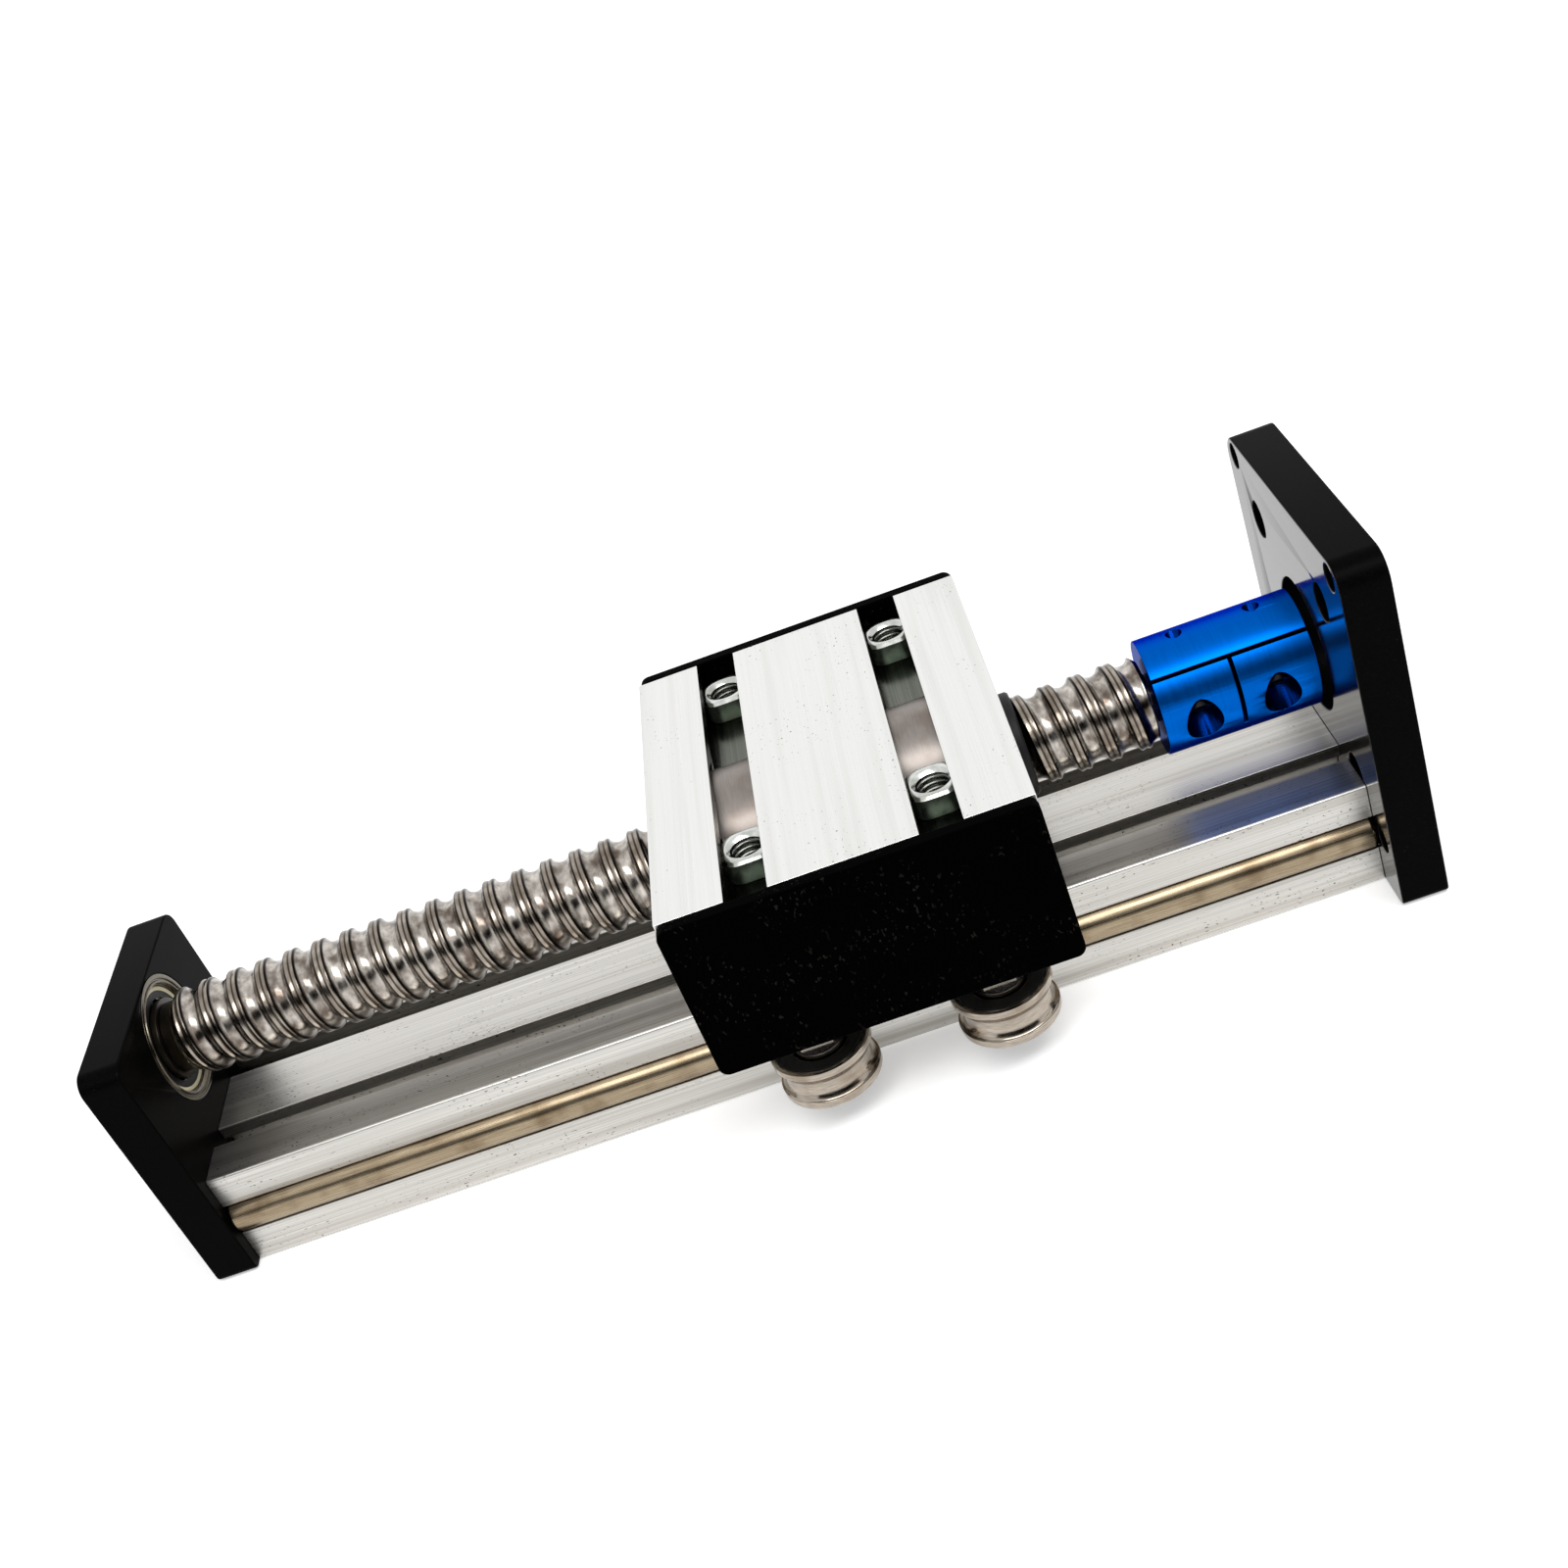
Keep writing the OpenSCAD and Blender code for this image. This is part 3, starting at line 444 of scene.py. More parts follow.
def paint_faces(piece, names, rule):
    """Adds finishes to a piece. rule(face) gives each face's place in the whole list."""
    for name in names:
        piece.data.materials.append(finishes[name])
    for face in piece.data.polygons:
        face.material_index = rule(face)


def carriage_rule(face):
    """2 for the near-black painted shade round the nut, 1 for the slots, darker with oil and painted shade,
    0 elsewhere.
    """
    # faces round the nut take the near-black painted shade
    if from_axis(face) < GAP_SHADE_RADIUS and abs(face.normal.x) < 0.5:
        return 2
    from_slot = min(abs(face.center.x / MM - x) for x in slots_x)
    return int(from_slot < SLOT_REACH and SLOT_FLOOR < face.center.z / MM < SLOT_MOUTH)


paint_faces(dressed["motor_plate"], ["black_anodised_blasted"], lambda face: int(abs(face.normal.x) <= 0.9))
paint_faces(dressed["carriage_block"], ["oiled_aluminium", "old_grease"], carriage_rule)
paint_faces(dressed["coupling"], ["blue_anodised_bores"], lambda face: int(from_axis(face) < COUPLING_SKIN))
print("carriage finishes", len(dressed["carriage_block"].data.materials))

# %% [markdown]
# ## Turned pieces
# Rings, rods, rollers and screws are turned on a lathe, and the code does the same: a list of
# (radius, distance) steps is spun round an axis. Each corner is eased with a tiny arc, because a
# truly sharp corner never glints. A step may be marked as six-sided, which makes key sockets.


# %% Lathe
def eased(steps, ease):
    """Replaces each inner corner of an outline by three points of a small arc."""
    out = []
    for i, step in enumerate(steps):
        if i in (0, len(steps) - 1) or step[0] == 0:
            out.append(step)
            continue
        here = Vector(step[:2])
        back = Vector(steps[i - 1][:2]) - here
        on = Vector(steps[i + 1][:2]) - here
        cut = min(ease, back.length / 3, on.length / 3)
        start, end = here + back.normalized() * cut, here + on.normalized() * cut
        for t in (0.0, 0.5, 1.0):
            point = start * (1 - t) ** 2 + here * 2 * t * (1 - t) + end * t**2
            out.append((point.x, point.y) + tuple(step[2:]))
    return out


def released(name, work):
    """An object from mesh work: smooth, but sharp where faces meet at over 50 degrees."""
    mesh = bpy.data.meshes.new(name)
    work.to_mesh(mesh)
    work.free()
    mesh.shade_smooth()
    mesh.set_sharp_from_angle(angle=math.radians(50))
    return set_down(name, mesh)


def turned(name, steps, axis="X", at=(0, 0, 0), ease=0.12, sides=96, ring=False):
    """Spins (radius, distance[, "six"]) steps in mm round an axis through at. ring closes the outline."""
    outline = eased(steps + steps[:2], ease)[1:-1] if ring else eased(steps, ease)
    work = bmesh.new()
    rows = []
    for step in outline:
        radius, distance = step[:2]
        row = []
        for k in range(1 if radius == 0 else sides):
            angle = 2 * math.pi * k / sides
            sixth = (angle % (math.pi / 3)) - math.pi / 6
            reach = radius / math.cos(sixth) if len(step) > 2 else radius
            row.append(work.verts.new((reach * math.cos(angle), reach * math.sin(angle), distance)))
        rows.append(row)
    pairs = list(zip(rows, rows[1:])) + ([(rows[-1], rows[0])] if ring else [])
    for low, high in pairs:
        for k in range(sides):
            j = (k + 1) % sides
            corners = [low[k % len(low)], low[j % len(low)], high[j % len(high)], high[k % len(high)]]
            corners = [v for i, v in enumerate(corners) if v not in corners[:i]]
            if len(corners) > 2:
                work.faces.new(corners)
    bmesh.ops.recalc_face_normals(work, faces=work.faces)
    turn = Matrix.Rotation(math.pi / 2, 4, "Y") if axis == "X" else Matrix.Identity(4)
    move = Matrix.Translation([v * MM for v in at]) @ turn @ Matrix.Scale(MM, 4)
    bmesh.ops.transform(work, matrix=move, verts=work.verts)
    return released(name, work)


def joined(name, pieces):
    """One object from several, so that a body gets one mesh for them."""
    work = bmesh.new()
    for piece in pieces:
        work.from_mesh(piece.data)
        bpy.data.objects.remove(piece)
    return released(name, work)


def arc(centre, radius, first, last, step):
    """Outline points of an arc round (centre, 0), from first to last degrees."""
    turns = [math.radians(degrees) for degrees in range(first, last + step, step)]
    return [(centre + radius * math.cos(turn), radius * math.sin(turn)) for turn in turns]


print("a quarter arc has", len(arc(0, 1, 0, 90, 10)), "points")

# %% [markdown]
# ## Guide rods
# The rods are centreless-ground steel let into the sides of the profile. Their ends are chamfered.

# %% Guide rods
ROD_CHAMFER = 0.4
for node in ("guide_rod_near", "guide_rod_far"):
    low, high = edges_mm(node)
    radius = (high[2] - low[2]) / 2
    steps = [(0, low[0]), (radius - ROD_CHAMFER, low[0]), (radius, low[0] + ROD_CHAMFER)]
    steps += [(radius, high[0] - ROD_CHAMFER), (radius - ROD_CHAMFER, high[0]), (0, high[0])]
    place(turned(node + "_turned", steps, at=[0] + middle_mm(node)[1:]), [node])
    print(node, "radius", round(radius, 3), "mm, length", round(high[0] - low[0], 1), "mm")

# %% [markdown]
# ## Support bearing
# The bearing shows three rings in the plate's hole: the steel outer ring, a cream shield, and the inner ring
# that turns with the screw. Races are cut inside, and the balls run in them. A shield's inner edge is black.

# %% Bearing rings and shields
PITCH_RADIUS = 8.1
BLACK_EDGE_RADIUS = 7.9
low, high = edges_mm("bearing_outer_ring")
middle = (low[0] + high[0]) / 2
half = (high[0] - low[0]) / 2
bearing_at = (middle, 0, screw_z)
lip = [(10.3, 0), (10.2, 0.3), (9.95, 0.3), (9.85, 0), (9.6, 0), (9.25, 0.45), (9.2, 1.3), (8.9, 1.3)]
outer = [(11, -half), (11, half)] + [(radius, half - depth) for radius, depth in lip]
outer += arc(PITCH_RADIUS, 1.75, 50, -50, -10)
outer += [(radius, depth - half) for radius, depth in reversed(lip)]
place(turned("bearing_outer_ring_turned", outer, at=bearing_at, ring=True), ["bearing_outer_ring"])
inner = [(6.9, half), (5.02, half), (5.02, -half), (6.9, -half)] + arc(PITCH_RADIUS, -1.47, 30, -30, -10)
inner_ring = turned("bearing_inner_ring_turned", inner, at=bearing_at, ring=True)
# the inner ring takes the dark painted-shade steel
place(inner_ring, ["bearing_inner_ring"], "journal_steel")
shields = []
for side in (-1, 1):
    face = side * (half - 0.9)
    rim = [(9.15, face), (8.9, face + side * 0.05), (8.5, face - side * 0.1), (7.2, face - side * 0.1)]
    rim += [(7.2, face - side * 0.25), (9.15, face - side * 0.25)]
    shields.append(turned("bearing_shield", rim, at=bearing_at, ring=True, ease=0.06))
shield = joined("bearing_shields_moulded", shields)
paint_faces(shield, ["bearing_shield", "black_rubber"], lambda face: int(from_axis(face) < BLACK_EDGE_RADIUS))
place(shield, ["bearing_shields"])
print("bearing at", round(middle, 2), "mm, width", round(2 * half, 2), "mm")

# %% [markdown]
# ## Geometry Nodes, step one: a surface with a thread
# A thread is a rule: at each place along the axis and each angle round it there is one radius. A grid
# is rolled into a tube and each point gets its radius from that rule. The grid's rows follow the
# helix, so the edge of the groove stays crisp, and a soft minimum rounds it like a rolled edge. A
# shallow seam runs along the crest where the rolling dies met. Each point also keeps its distance
# from the middle of the groove, which the screw's finish reads.


# %% Starting and ending a tree
def new_tree(name, *inputs):
    """An empty geometry tree, and the sockets of its inputs, each given as (socket type, names)."""
    tree = bpy.data.node_groups.new(name, "GeometryNodeTree")
    face = tree.interface
    face.new_socket("Geometry", in_out="INPUT", socket_type="NodeSocketGeometry")
    for kind, labels in inputs + (("Material", ["Finish"]),):
        for label in labels:
            face.new_socket(label, in_out="INPUT", socket_type="NodeSocket" + kind)
    face.new_socket("Geometry", in_out="OUTPUT", socket_type="NodeSocketGeometry")
    return tree, add(tree, "NodeGroupInput").outputs


def hand_over(tree, given, geometry):
    """Ends a tree: instances become real, take the finish and go out."""
    real = add(tree, "GeometryNodeRealizeInstances", {"Geometry": geometry})
    coated = add(tree, "GeometryNodeSetMaterial", {"Geometry": real, "Material": given["Finish"]})
    add(tree, "NodeGroupOutput", {"Geometry": coated})
    return tree


def round_axis(tree, turn, radius, along):
    """The place at a turn round X, where 1 is once round, at a radius and a distance along X."""
    angle = add(tree, MATH, {0: turn, 1: 2 * math.pi}, operation="MULTIPLY")
    side = add(tree, MATH, {0: angle}, operation="COSINE")
    side = add(tree, MATH, {0: radius, 1: side}, operation="MULTIPLY")
    rise = add(tree, MATH, {0: angle}, operation="SINE")
    rise = add(tree, MATH, {0: radius, 1: rise}, operation="MULTIPLY")
    return add(tree, "ShaderNodeCombineXYZ", {"X": along, "Y": side, "Z": rise})


def grown(name, tree, **values):
    """Runs a tree with named inputs and returns its result as a plain mesh object."""
    seed = set_down(name, bpy.data.meshes.new(name))
    modifier = seed.modifiers.new("nodes", "NODES")
    modifier.node_group = tree
    for socket in tree.interface.items_tree:
        key = socket.name.replace(" ", "_")
        if socket.in_out == "INPUT" and key in values:
            modifier[socket.identifier] = values[key]
    ready = seed.evaluated_get(bpy.context.evaluated_depsgraph_get())
    mesh = bpy.data.meshes.new_from_object(ready)
    mesh.name = name
    seed.modifiers.remove(modifier)
    seed.data = mesh
    return seed


print("tree helpers ready")


# %% Thread tree
def thread_tree():
    radii = ["Crest Radius", "Groove Radius", "Groove Centre", "End Radius"]
    lengths = ["Start", "End", "Pitch", "Softness", "Seam Width", "Seam Depth"] + radii
    tree, given = new_tree("threaded_surface", ("Float", lengths), ("Int", ["Rows per Turn", "Sides"]))

    # the flat grid: one row of points for each step along the helix
    length = add(tree, MATH, {0: given["End"], 1: given["Start"]}, operation="SUBTRACT")
    whole = add(tree, MATH, {0: length, 1: given["Pitch"]}, operation="DIVIDE")
    whole = add(tree, MATH, {0: whole}, operation="CEIL")
    turns = add(tree, MATH, {0: whole, 1: 1.0}, operation="ADD")
    rows = add(tree, MATH, {0: turns, 1: given["Rows per Turn"], 2: 1.0}, operation="MULTIPLY_ADD")
    columns = add(tree, MATH, {0: given["Sides"], 1: 1.0}, operation="ADD")
    grid = add(tree, "GeometryNodeMeshGrid", {"Vertices X": rows, "Vertices Y": columns})
    at = add(tree, "ShaderNodeSeparateXYZ", {"Vector": add(tree, "GeometryNodeInputPosition")}).outputs

    # each point's turn round the axis, and its distance along it, held between the two ends
    turn = add(tree, MATH, {0: at["Y"], 1: 0.5}, operation="ADD")
    along = add(tree, MATH, {0: at["X"], 1: 0.5}, operation="ADD")
    along = add(tree, MATH, {0: along, 1: turns, 2: turn}, operation="MULTIPLY_ADD")
    along = add(tree, MATH, {0: along, 1: 1.0}, operation="SUBTRACT")
    along = add(tree, MATH, {0: along, 1: given["Pitch"]}, operation="MULTIPLY")
    along = add(tree, MATH, {0: along, 1: 0.0}, operation="MAXIMUM")
    along = add(tree, MATH, {0: along, 1: length}, operation="MINIMUM")

    # where the point lies across the groove, and how deep the groove's circle is there
    phase = add(tree, MATH, {0: along, 1: given["Pitch"]}, operation="DIVIDE")
    phase = add(tree, MATH, {0: phase, 1: turn}, operation="SUBTRACT")
    phase = add(tree, MATH, {0: phase, 1: 8.0}, operation="ADD")
    phase = add(tree, MATH, {0: phase}, operation="FRACT")
    across = add(tree, MATH, {0: phase, 1: 0.5}, operation="SUBTRACT")
    across = add(tree, MATH, {0: across, 1: given["Pitch"]}, operation="MULTIPLY")
    across = add(tree, MATH, {0: across}, operation="ABSOLUTE")
    square = add(tree, MATH, {0: across, 1: 2.0}, operation="POWER")
    depth = add(tree, MATH, {0: given["Groove Radius"], 1: 2.0}, operation="POWER")
    depth = add(tree, MATH, {0: depth, 1: square}, operation="SUBTRACT")
    depth = add(tree, MATH, {0: depth, 1: 0.0}, operation="MAXIMUM")
    depth = add(tree, MATH, {0: depth}, operation="SQRT")
    groove = add(tree, MATH, {0: given["Groove Centre"], 1: depth}, operation="SUBTRACT")
    least = {0: groove, 1: given["Crest Radius"], 2: given["Softness"]}
    radius = add(tree, MATH, least, operation="SMOOTH_MIN")

    # the rolled seam along the middle of the crest
    from_seam = add(tree, MATH, {0: given["Pitch"], 1: -0.5, 2: across}, operation="MULTIPLY_ADD")
    from_seam = add(tree, MATH, {0: from_seam}, operation="ABSOLUTE")
    dip = {"Value": from_seam, "From Max": given["Seam Width"], "To Min": given["Seam Depth"], "To Max": 0.0}
    dip = add(tree, RANGE, dip, interpolation_type="SMOOTHSTEP")
    radius = add(tree, MATH, {0: radius, 1: dip}, operation="SUBTRACT")

    # a chamfer at either end
    for from_end in (along, add(tree, MATH, {0: length, 1: along}, operation="SUBTRACT")):
        slope = add(tree, MATH, {0: given["End Radius"], 1: from_end}, operation="ADD")
        radius = add(tree, MATH, {0: radius, 1: slope}, operation="MINIMUM")

    # the grid rolled into a tube
    spot = round_axis(tree, turn, radius, add(tree, MATH, {0: given["Start"], 1: along}, operation="ADD"))
    marked = {"Geometry": grid.outputs["Mesh"], "Name": "from_groove", "Value": across}
    marked = add(tree, "GeometryNodeStoreNamedAttribute", marked)
    rolled = add(tree, "GeometryNodeSetPosition", {"Geometry": marked, "Position": spot})
    closed = add(tree, "GeometryNodeMergeByDistance", {"Geometry": rolled, "Distance": 1e-6})
    return hand_over(tree, given, add(tree, "GeometryNodeSetShadeSmooth", {"Geometry": closed}))


threaded = thread_tree()
print("thread tree has", len(threaded.nodes), "nodes")

# %% [markdown]
# ## The ball screw
# The screw is rolled steel with one rounded groove, right-handed, 5 mm from turn to turn. The thread
# comes from the tree, and the plain journals at its ends are turned. The chamfered ends of the thread
# meet the journals at the thread's end radius.

# %% Ball screw
LEAD = 5
THREAD_END_RADIUS = 6.3
BALL_CIRCLE = 8.15
thread_start, thread_end = -95.05, 70.8
low, high = edges_mm("ball_screw")
thread = grown(
    "screw_thread", threaded, Start=thread_start * MM, End=thread_end * MM, Pitch=LEAD * MM,
    Crest_Radius=7.5 * MM, Groove_Radius=1.75 * MM, Groove_Centre=BALL_CIRCLE * MM,
    End_Radius=THREAD_END_RADIUS * MM, Softness=0.08 * MM, Seam_Width=0.5 * MM, Seam_Depth=0.14 * MM,
    Rows_per_Turn=32, Sides=72, Finish=finishes["screw_steel"],
)
thread.data.transform(Matrix.Translation((0, 0, screw_z * MM)))
work = bmesh.new()
work.from_mesh(thread.data)
bmesh.ops.recalc_face_normals(work, faces=work.faces)
work.to_mesh(thread.data)
work.free()
m5_bore, bore_end = 2.52, low[0] + 5.7
neck = THREAD_END_RADIUS + 0.05
bored = [(m5_bore, low[0]), (m5_bore, bore_end), (0, bore_end)]
shoulder = edges_mm("bearing_outer_ring")[1][0]
journal = [(m5_bore, low[0]), (5, low[0]), (5, shoulder), (6, shoulder), (6, thread_start)]
journal += [(neck, thread_start)]
drive_end = [(neck, thread_end), (4, thread_end), (4, high[0]), (0, high[0])]
ends = [turned("screw_bore", bored, at=(0, 0, screw_z))]
ends.append(turned("screw_journal", journal, at=(0, 0, screw_z), ease=0.2))
ends.append(turned("screw_drive_end", drive_end, at=(0, 0, screw_z), ease=0.2))
screw = joined("ball_screw_ground", [thread] + ends)
screw.data.set_sharp_from_angle(angle=math.radians(75))
screw.data.materials.clear()
journal_ends = (thread_start - 0.05) * MM
# the journal inside the bearing takes the dark painted-shade steel
paint_faces(screw, ["screw_steel", "journal_steel"], lambda face: int(face.center.x < journal_ends))
place(screw, ["ball_screw"])
print("ball screw", len(screw.data.polygons), "faces")

# %% [markdown]
# ## Geometry Nodes, step two: balls in a row
# Bearings, rollers and the nut are full of equal balls, set round a circle or along the screw's
# groove. One tree puts them there: a turn of so many balls, a pitch radius, and a rise for each turn.


# %% Ball tree
def ball_tree():
    counts = ("Int", ["Count", "Balls per Turn"])
    tree, given = new_tree("row_of_balls", counts, ("Float", ["Pitch Radius", "Ball Radius", "Rise"]))
    index = add(tree, "GeometryNodeInputIndex")
    turn = add(tree, MATH, {0: index, 1: given["Balls per Turn"]}, operation="DIVIDE")
    along = add(tree, MATH, {0: turn, 1: given["Rise"]}, operation="MULTIPLY")
    spot = round_axis(tree, turn, given["Pitch Radius"], along)
    points = add(tree, "GeometryNodePoints", {"Count": given["Count"], "Position": spot})
    ball = add(tree, "GeometryNodeMeshIcoSphere", {"Radius": given["Ball Radius"], "Subdivisions": 4})
    smooth = add(tree, "GeometryNodeSetShadeSmooth", {"Geometry": ball})
    row = add(tree, "GeometryNodeInstanceOnPoints", {"Points": points, "Instance": smooth})
    return hand_over(tree, given, row)


rows_of_balls = ball_tree()


def balls(name, at, circle_mm, ball_mm, per_turn=11, turns=1, rise_mm=0.0):
    """Polished balls on turns of a circle or helix round X, from the point at, in mm."""
    row = grown(
        name, rows_of_balls, Count=per_turn * turns, Balls_per_Turn=per_turn, Pitch_Radius=circle_mm * MM,
        Ball_Radius=ball_mm * MM, Rise=rise_mm * MM, Finish=finishes["ball_steel"],
    )
    row.data.transform(Matrix.Translation([v * MM for v in at]))
    return row


nut_ball = 1.4
support = balls("bearing_balls_polished", bearing_at, PITCH_RADIUS, 1.45)
place(support, ["bearing_balls"])
first_ball = (edges_mm("nut_balls")[0][0] + nut_ball, 0, screw_z)
loaded = balls("nut_balls_polished", first_ball, BALL_CIRCLE, nut_ball, per_turn=16, turns=3, rise_mm=LEAD)
place(loaded, ["nut_balls"])
print("balls", len(support.data.polygons), len(loaded.data.polygons), "faces")

# %% [markdown]
# ## Geometry Nodes, step three: a block of equal pieces
# Bolts, rollers' rings and screws come in rows and squares. The tree takes one piece and sets it on
# the points of a grid, so each fastener is modelled once.


# %% Grid tree
def grid_tree():
    places = ("Vector", ["First", "Column Step", "Row Step"])
    tree, given = new_tree("grid_of_pieces", ("Object", ["Piece"]), ("Int", ["Columns", "Rows"]), places)
    column = add(tree, "GeometryNodeMeshLine", {"Count": given["Columns"], "Offset": given["Column Step"]})
    down = {"Count": given["Rows"], "Start Location": given["First"], "Offset": given["Row Step"]}
    row = add(tree, "GeometryNodeMeshLine", down)
    lines = add(tree, "GeometryNodeInstanceOnPoints", {"Points": row, "Instance": column})
    points = add(tree, "GeometryNodeRealizeInstances", {"Geometry": lines})
    one = add(tree, "GeometryNodeObjectInfo", {"Object": given["Piece"]}).outputs["Geometry"]
    pieces = add(tree, "GeometryNodeInstanceOnPoints", {"Points": points, "Instance": one})
    return hand_over(tree, given, pieces)


grids = grid_tree()


def set_out(node, one, columns, rows, first, column_step, row_step):
    """Repeats a piece on a grid, in mm, and lets the whole stand for a node."""
    whole = grown(
        node + "_set", grids, Piece=one, Columns=columns, Rows=rows, First=[v * MM for v in first],
        Column_Step=[v * MM for v in column_step], Row_Step=[v * MM for v in row_step],
        Finish=finishes[slot_of_node[node]],
    )
    bpy.data.objects.remove(one)
    whole.data.set_sharp_from_angle(angle=math.radians(50))
    place(whole, [node])


print("grid tree has", len(grids.nodes), "nodes")

# %% [markdown]
# ## Countersunk plate screws
# Three screws hold each end plate. Each is a cone on a shank with a six-sided socket, and sits flush
# with the plate's outer face. The two sets point towards each other.

# %% Plate screws
SCREW_STEP, SCREWS_Z = 9.15, 9.25
outer_faces = {"bearing_plate_screws": edges_mm("bearing_plate_screws")[0][0]}
outer_faces["motor_plate_screws"] = edges_mm("motor_plate_screws")[1][0]
for node, face_x in outer_faces.items():
    way = 1 if face_x < 0 else -1
    steps = [(0, 1.4), (1.25, 1.4, "six"), (1.25, 0, "six"), (3.95, 0), (2, 2.25)]
    steps += [(2, 17.6), (1.6, 18), (0, 18)]
    steps = [(step[0], step[1] * way) + tuple(step[2:]) for step in steps]
    one = turned("plate_screw", steps, ease=0.08, sides=48)
    set_out(node, one, 1, 3, (face_x, -SCREW_STEP, SCREWS_Z), (0, 0, 0), (0, SCREW_STEP, 0))
    print(node, "at x", round(face_x, 2))

# %% [markdown]
# ## Rollers
# Each roller is a ball bearing with a grooved outer ring. The ring is turned from the same outline at
# four places, one for each body. Its groove is an arc that fits round the rod, and a black seal lies
# in a recess on either face.

# %% Rollers
ROLLER_RADIUS, HALF_WIDTH, RECESS = 8.2, 3.5, 2.9
groove = arc(10.3, -3.25, 42, -42, -6)
ring_outline = [(ROLLER_RADIUS, -HALF_WIDTH), (ROLLER_RADIUS, groove[0][1] - 0.1)] + groove
ring_outline += [(ROLLER_RADIUS, groove[-1][1] + 0.1), (ROLLER_RADIUS, HALF_WIDTH)]
race = [(7.3, HALF_WIDTH), (7.3, RECESS), (5.9, RECESS), (5.9, 1.15), (6.55, 0.6)]
ring_outline += race + [(radius, -height) for radius, height in reversed(race)]
corners = ("near_left", "near_right", "far_left", "far_right")
for node in ["roller_" + corner for corner in corners]:
    centre = middle_mm(node)
    place(turned(node + "_turned", ring_outline, axis="Z", at=centre, ring=True, ease=0.15), [node])
    seals = []
    for side in (-1, 1):
        lip = [(7.25, side * RECESS), (7.25, side * 3.38), (6.9, side * 3.4), (6.6, side * 3.25)]
        lip += [(4.7, side * 3.3), (4.5, side * 3.15), (4.5, side * RECESS)]
        seals.append(turned("seal", lip, axis="Z", at=centre, ring=True, ease=0.05))
    place(joined(node + "_seals_moulded", seals), [node + "_seals"])
    print(node, "centre", [round(v, 2) for v in centre])

# %% [markdown]
# ## What the rollers hang on
# Under each corner of the carriage hang an inner ring, a spacer and a button-head bolt. They repeat on
# a grid. The near spacers are six-sided eccentrics, and keep their solid's shape.

# %% Roller hardware
apart = [(slots_x[1] - slots_x[0], 0, 0), (0, 2 * roller_y, 0)]
under_corners = [(slots_x[0], -roller_y, 0)] + apart
bolt = [(0, 4.3), (1.5, 4.3, "six"), (1.5, 2.7, "six"), (3.3, 2.7), (4.2, 3.3), (4.5, 4.1), (4.5, 5.5)]
bolt += [(2.5, 5.5), (2.5, 24.3), (2.1, 24.7), (0, 24.7)]
bolt = turned("bolt", bolt, axis="Z", ease=0.08, sides=48)
set_out("roller_bolts", bolt, 2, 2, *under_corners)
inner = [(m5_bore, 5.5), (4.2, 5.5), (4.2, 7), (4.7, 7), (4.7, 8.7), (4.3, 9.2)]
inner += [(4.3, 9.8), (4.7, 10.3), (4.7, 12), (4.2, 12), (4.2, 13.5), (m5_bore, 13.5)]
inner = turned("ring", inner, axis="Z", ring=True, sides=64)
set_out("roller_inner_rings", inner, 2, 2, *under_corners)
spacer = [(m5_bore, 13.5), (4.2, 13.5), (4.2, 20), (m5_bore, 20)]
spacer = turned("spacer", spacer, axis="Z", ring=True, sides=64)
set_out("fixed_spacers", spacer, 2, 1, (slots_x[0], roller_y, 0), *apart)
small = balls("roller_ball_ring", (0, 0, 0), 5.3, 1)
small.data.transform(Matrix.Translation((0, 0, roller_z * MM)) @ Matrix.Rotation(-math.pi / 2, 4, "Y"))
set_out("roller_balls", small, 2, 2, *under_corners)
print("roller hardware on a grid of", round(apart[0][0], 2), "by", round(apart[1][1], 2), "mm")

# %% [markdown]
# ## Wipers and washer
# Rubber wipers close the nut and keep dust out. A washer and a screw hold the bearing's inner ring on
# the journal.

# %% Wipers and washer
low, high = edges_mm("nut_wipers")
lips = []
for start, end in ((low[0], low[0] + 2), (high[0] - 3.8, high[0])):
    lip = [(8.6, start), (8.6, end - 0.4), (8.3, end), (7.85, end), (7.85, start)]
    lips.append(turned("wiper", lip, at=(0, 0, screw_z), ring=True))
place(joined("nut_wipers_moulded", lips), ["nut_wipers"])
print("wiper lips", round(high[0], 2))
low, high = edges_mm("end_washer")
washer = [(2.6, low[0]), (2.6, high[0]), (6, high[0]), (6, low[0])]
place(turned("end_washer_turned", washer, at=(0, 0, screw_z), ring=True), ["end_washer"])

# %% [markdown]
# ## Slot nuts with a real thread
# Four nuts slide in the carriage's slots, and their tapped holes are seen from above, so the thread is worth
# making. The same thread tree makes it, small and with its faces turned inwards. The body is a stack of
# outlines: each ring of points runs round the nut, and the hole's ring closes it. The body is zinc plated,
# its rounded top is painted lighter, a painted highlight, and the thread is a little darker.


# %% Slot nuts
POINTS_ROUND = 96
HOLE_CREST = 2.7
low, high = edges_mm("slot_nut_near_left")
nut_x, nut_y = high[0] - low[0], high[1] - low[1]
base, top = low[2], high[2]


def round_cornered(size_x, size_y, radius):
    """Points round a rectangle with round corners, one for each direction from its middle."""
    points = []
    for k in range(POINTS_ROUND):
        angle = 2 * math.pi * k / POINTS_ROUND
        ray = Vector((math.cos(angle), math.sin(angle)))
        low, high = 0.0, size_x + size_y
        for _ in range(40):
            reach = (low + high) / 2
            dx = max(abs(ray.x * reach) - (size_x / 2 - radius), 0)
            dy = max(abs(ray.y * reach) - (size_y / 2 - radius), 0)
            inside = math.hypot(dx, dy) <= radius
            low, high = (reach, high) if inside else (low, reach)
        points.append(ray * low)
    return points


def circle(radius):
    return round_cornered(2 * radius, 2 * radius, radius)


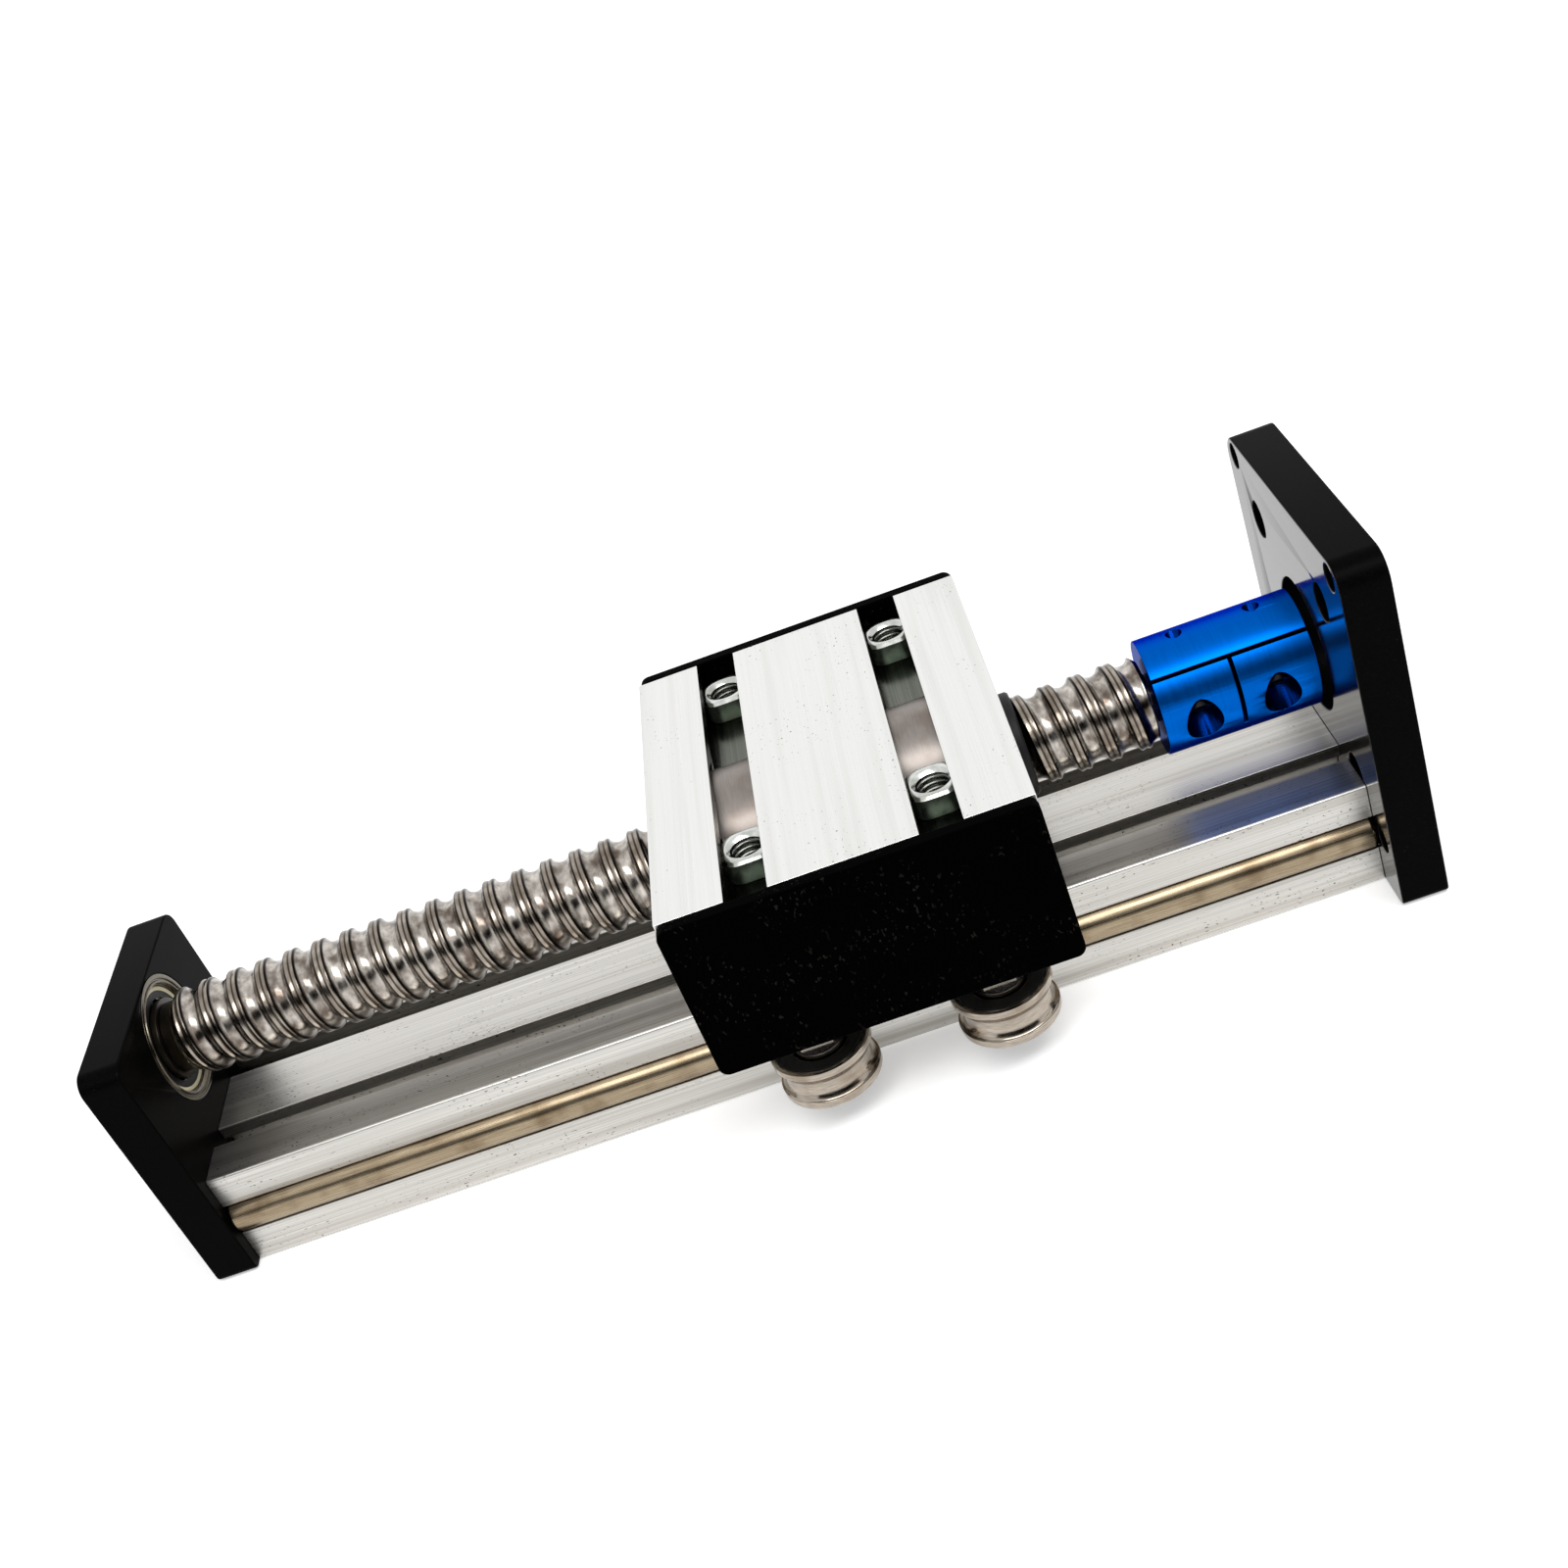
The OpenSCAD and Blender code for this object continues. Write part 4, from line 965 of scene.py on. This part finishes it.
def nut_body():
    """The body with a plain hole: rings of points from the hole's foot, up outside, and back in."""
    insets = [(0, 2.6), (0.2, 2.5), (0.45, 2.3), (0.55, 2.25)]
    side, foot, crown, face = [round_cornered(nut_x - 2 * i, nut_y - 2 * i, r) for i, r in insets]
    rings = [(circle(HOLE_CREST), base), (foot, base), (side, base + 0.2), (side, top - 0.45)]
    rings += [(crown, top - 0.08), (face, top), (circle(3.3), top), (circle(3.2), top - 0.05)]
    rings += [(circle(HOLE_CREST - 0.05), top - 0.6), (circle(HOLE_CREST), top - 0.7)]
    work = bmesh.new()
    rows = [[work.verts.new((p.x, p.y, z)) for p in points] for points, z in rings]
    for low, high in zip(rows, rows[1:] + rows[:1]):
        for k in range(POINTS_ROUND):
            j = (k + 1) % POINTS_ROUND
            work.faces.new((low[k], low[j], high[j], high[k]))
    bmesh.ops.recalc_face_normals(work, faces=work.faces)
    bmesh.ops.scale(work, vec=(MM, MM, MM), verts=work.verts)
    return released("nut_body", work)


def nut_thread():
    """The tapped thread on the Z axis, with its faces towards the axis."""
    tapped = grown(
        "tapped", threaded, Start=base * MM, End=(top - 0.65) * MM, Pitch=1.0 * MM, End_Radius=9 * MM,
        Crest_Radius=HOLE_CREST * MM, Groove_Radius=0.46 * MM, Groove_Centre=2.8 * MM,
        Softness=0.02 * MM, Seam_Width=0.1 * MM, Seam_Depth=0.0, Rows_per_Turn=14, Sides=48,
        Finish=finishes["thread_steel"],
    )
    tapped.data.transform(Matrix.Diagonal((-1, 1, 1, 1)) @ Matrix.Rotation(-math.pi / 2, 4, "Y"))
    work = bmesh.new()
    work.from_mesh(tapped.data)
    for face in work.faces:
        centre = face.calc_center_median()
        if face.normal.x * centre.x + face.normal.y * centre.y > 0:
            face.normal_flip()
    work.to_mesh(tapped.data)
    work.free()
    return tapped


def nut_rule(face):
    """1 for the top, painted lighter as a painted highlight, 2 inside the hole, 0 for the plated rest."""
    height = face.center.z / MM
    in_hole = math.hypot(face.center.x, face.center.y) < 3.22 * MM and height > base + 0.05
    return 1 if height > top - 0.4 else 2 if in_hole else 0


for node in ["slot_nut_" + corner for corner in corners]:
    nut = joined(node + "_tapped", [nut_body(), nut_thread()])
    paint_faces(nut, ["zinc_steel", "cut_steel", "thread_steel"], nut_rule)
    nut.data.transform(Matrix.Translation([v * MM for v in middle_mm(node)[:2]] + [0]))
    place(nut, [node])
    print(node, len(nut.data.polygons), "faces")

# %% [markdown]
# ## Floor and light
# Metal shows what stands round it, so the studio is a pale floor, large soft lamps, and a dark card
# on the camera's side, as product studios use. The floor and the sky are white to the camera and in
# reflections, by Light Path, and light the module no more for it. The floor keeps its shadow, and
# grows brighter far off, where the lamps don't reach, so that no horizon shows.


# %% Floor
def sheet(name, width, depth, finish_name):
    """A flat rectangle's mesh, facing up."""
    mesh = bpy.data.meshes.new(name)
    x, y = width / 2, depth / 2
    mesh.from_pydata([(-x, -y, 0), (x, -y, 0), (x, y, 0), (-x, y, 0)], [], [(0, 1, 2, 3)])
    mesh.materials.append(finishes[finish_name])
    return mesh


def seen_directly(tree):
    """Light Path's sockets, and 1 where the camera, a reflection or clear glass looks."""
    seen = add(tree, "ShaderNodeLightPath").outputs
    shown = add(tree, MATH, {0: seen["Is Camera Ray"], 1: seen["Is Glossy Ray"]}, operation="MAXIMUM")
    return seen, add(tree, MATH, {0: shown, 1: seen["Is Transmission Ray"]}, operation="MAXIMUM")


FLOOR_SIDE = 12.0
tree = finish("white_paper", Roughness=0.9, Base_Color=colour("#f4f4f4"), Emission_Color=(1, 1, 1, 1))
seen, shown = seen_directly(tree)
here = add(tree, "ShaderNodeTexCoord").outputs["Object"]
far_off = add(tree, "ShaderNodeVectorMath", {0: here}, operation="LENGTH")
lift = add(tree, RANGE, {"Value": far_off, "From Min": 0.4, "From Max": 1.6, "To Max": 0.3})
lift = add(tree, MATH, {0: lift, 1: seen["Is Camera Ray"]}, operation="MULTIPLY")
glow = add(tree, MATH, {0: shown, 1: 0.4, 2: lift}, operation="MULTIPLY_ADD")
tree.links.new(glow.outputs["Value"], tree.nodes["Principled BSDF"].inputs["Emission Strength"])
floor = set_down("floor", sheet("floor", FLOOR_SIDE, FLOOR_SIDE, "white_paper"))
floor.location.z = -0.2 * MM
print("floor", FLOOR_SIDE, "m")

# %% [markdown]
# ## World
# The sky is even white. It lights the module at half strength, which leaves room for the lamps, and
# the camera and reflections see it at full strength.

# %% World
world = bpy.data.worlds.new("studio")
bpy.context.scene.world = world
world.use_nodes = True
sky = world.node_tree.nodes["Background"].inputs
shown = seen_directly(world.node_tree)[1]
level = add(world.node_tree, RANGE, {"Value": shown, "To Min": 0.5, "To Max": 1.0})
sky["Color"].default_value = (1, 1, 1, 1)
world.node_tree.links.new(level.outputs["Result"], sky["Strength"])
print("world lights at", level.inputs["To Min"].default_value)

# %% [markdown]
# ## Lamps and the dark card
# A large lamp behind the module draws long highlights on its round parts, and a smaller one overhead
# fills them in. The black card is seen in reflections alone, where it gives the metal its dark lines.


# %% Lamps and the dark card
def aimed(name, data, at, target=(0, 0, 0.02)):
    """An object at a place, turned to look at the module."""
    holder = set_down(name, data)
    holder.location = at
    holder.rotation_euler = (Vector(target) - Vector(at)).to_track_quat("-Z", "Y").to_euler()
    return holder


def softbox(name, at, size, watts):
    """A soft lamp of size (width, height) in metres."""
    lamp = bpy.data.lights.new(name, "AREA")
    lamp.shape = "RECTANGLE"
    lamp.size, lamp.size_y = size
    lamp.energy = watts
    aimed(name, lamp, at)
    print(name, watts, "W at", at)


def dark_card(name, at, size):
    """A black card outside the picture. Only reflections see it."""
    card = aimed(name, sheet(name, size[0], size[1], "black_velvet"), at)
    card.visible_camera = False
    card.visible_diffuse = False
    card.visible_shadow = False
    print(name, size, "m at", at)


finish("black_velvet", Roughness=1.0, Specular_IOR_Level=0.0, Base_Color=colour("#101010"))
softbox("window", (-0.5, 2.1, 1.4), (3.2, 1.6), 3.8)
softbox("ceiling", (0.15, -0.45, 0.85), (1.2, 0.3), 6.5)
dark_card("camera_side", (0.1, -1.15, 0.45), (2.6, 0.6))

# %% [markdown]
# ## Camera
# The camera stands in front and above, turned about its own axis so that the module climbs to the
# right, and close enough to show strong perspective.

# %% Camera
lens = bpy.data.cameras.new("camera")
lens.sensor_width = 36
lens.lens = 44.142
lens.shift_x = -0.05
lens.shift_y = 0.05
lens.clip_start = 0.01
eye = set_down("camera", lens)
right = Vector((0.942612, -0.122584, -0.310574))
up = Vector((0.325831, 0.540851, 0.775445))
turn = Matrix((right, up, right.cross(up))).transposed()
eye.matrix_world = Matrix.Translation((0.041959, -0.262793, 0.195952)) @ turn.to_4x4()
scene = bpy.context.scene
scene.camera = eye
scene.view_settings.view_transform = "Standard"
print("camera", tuple(round(v, 3) for v in eye.location))
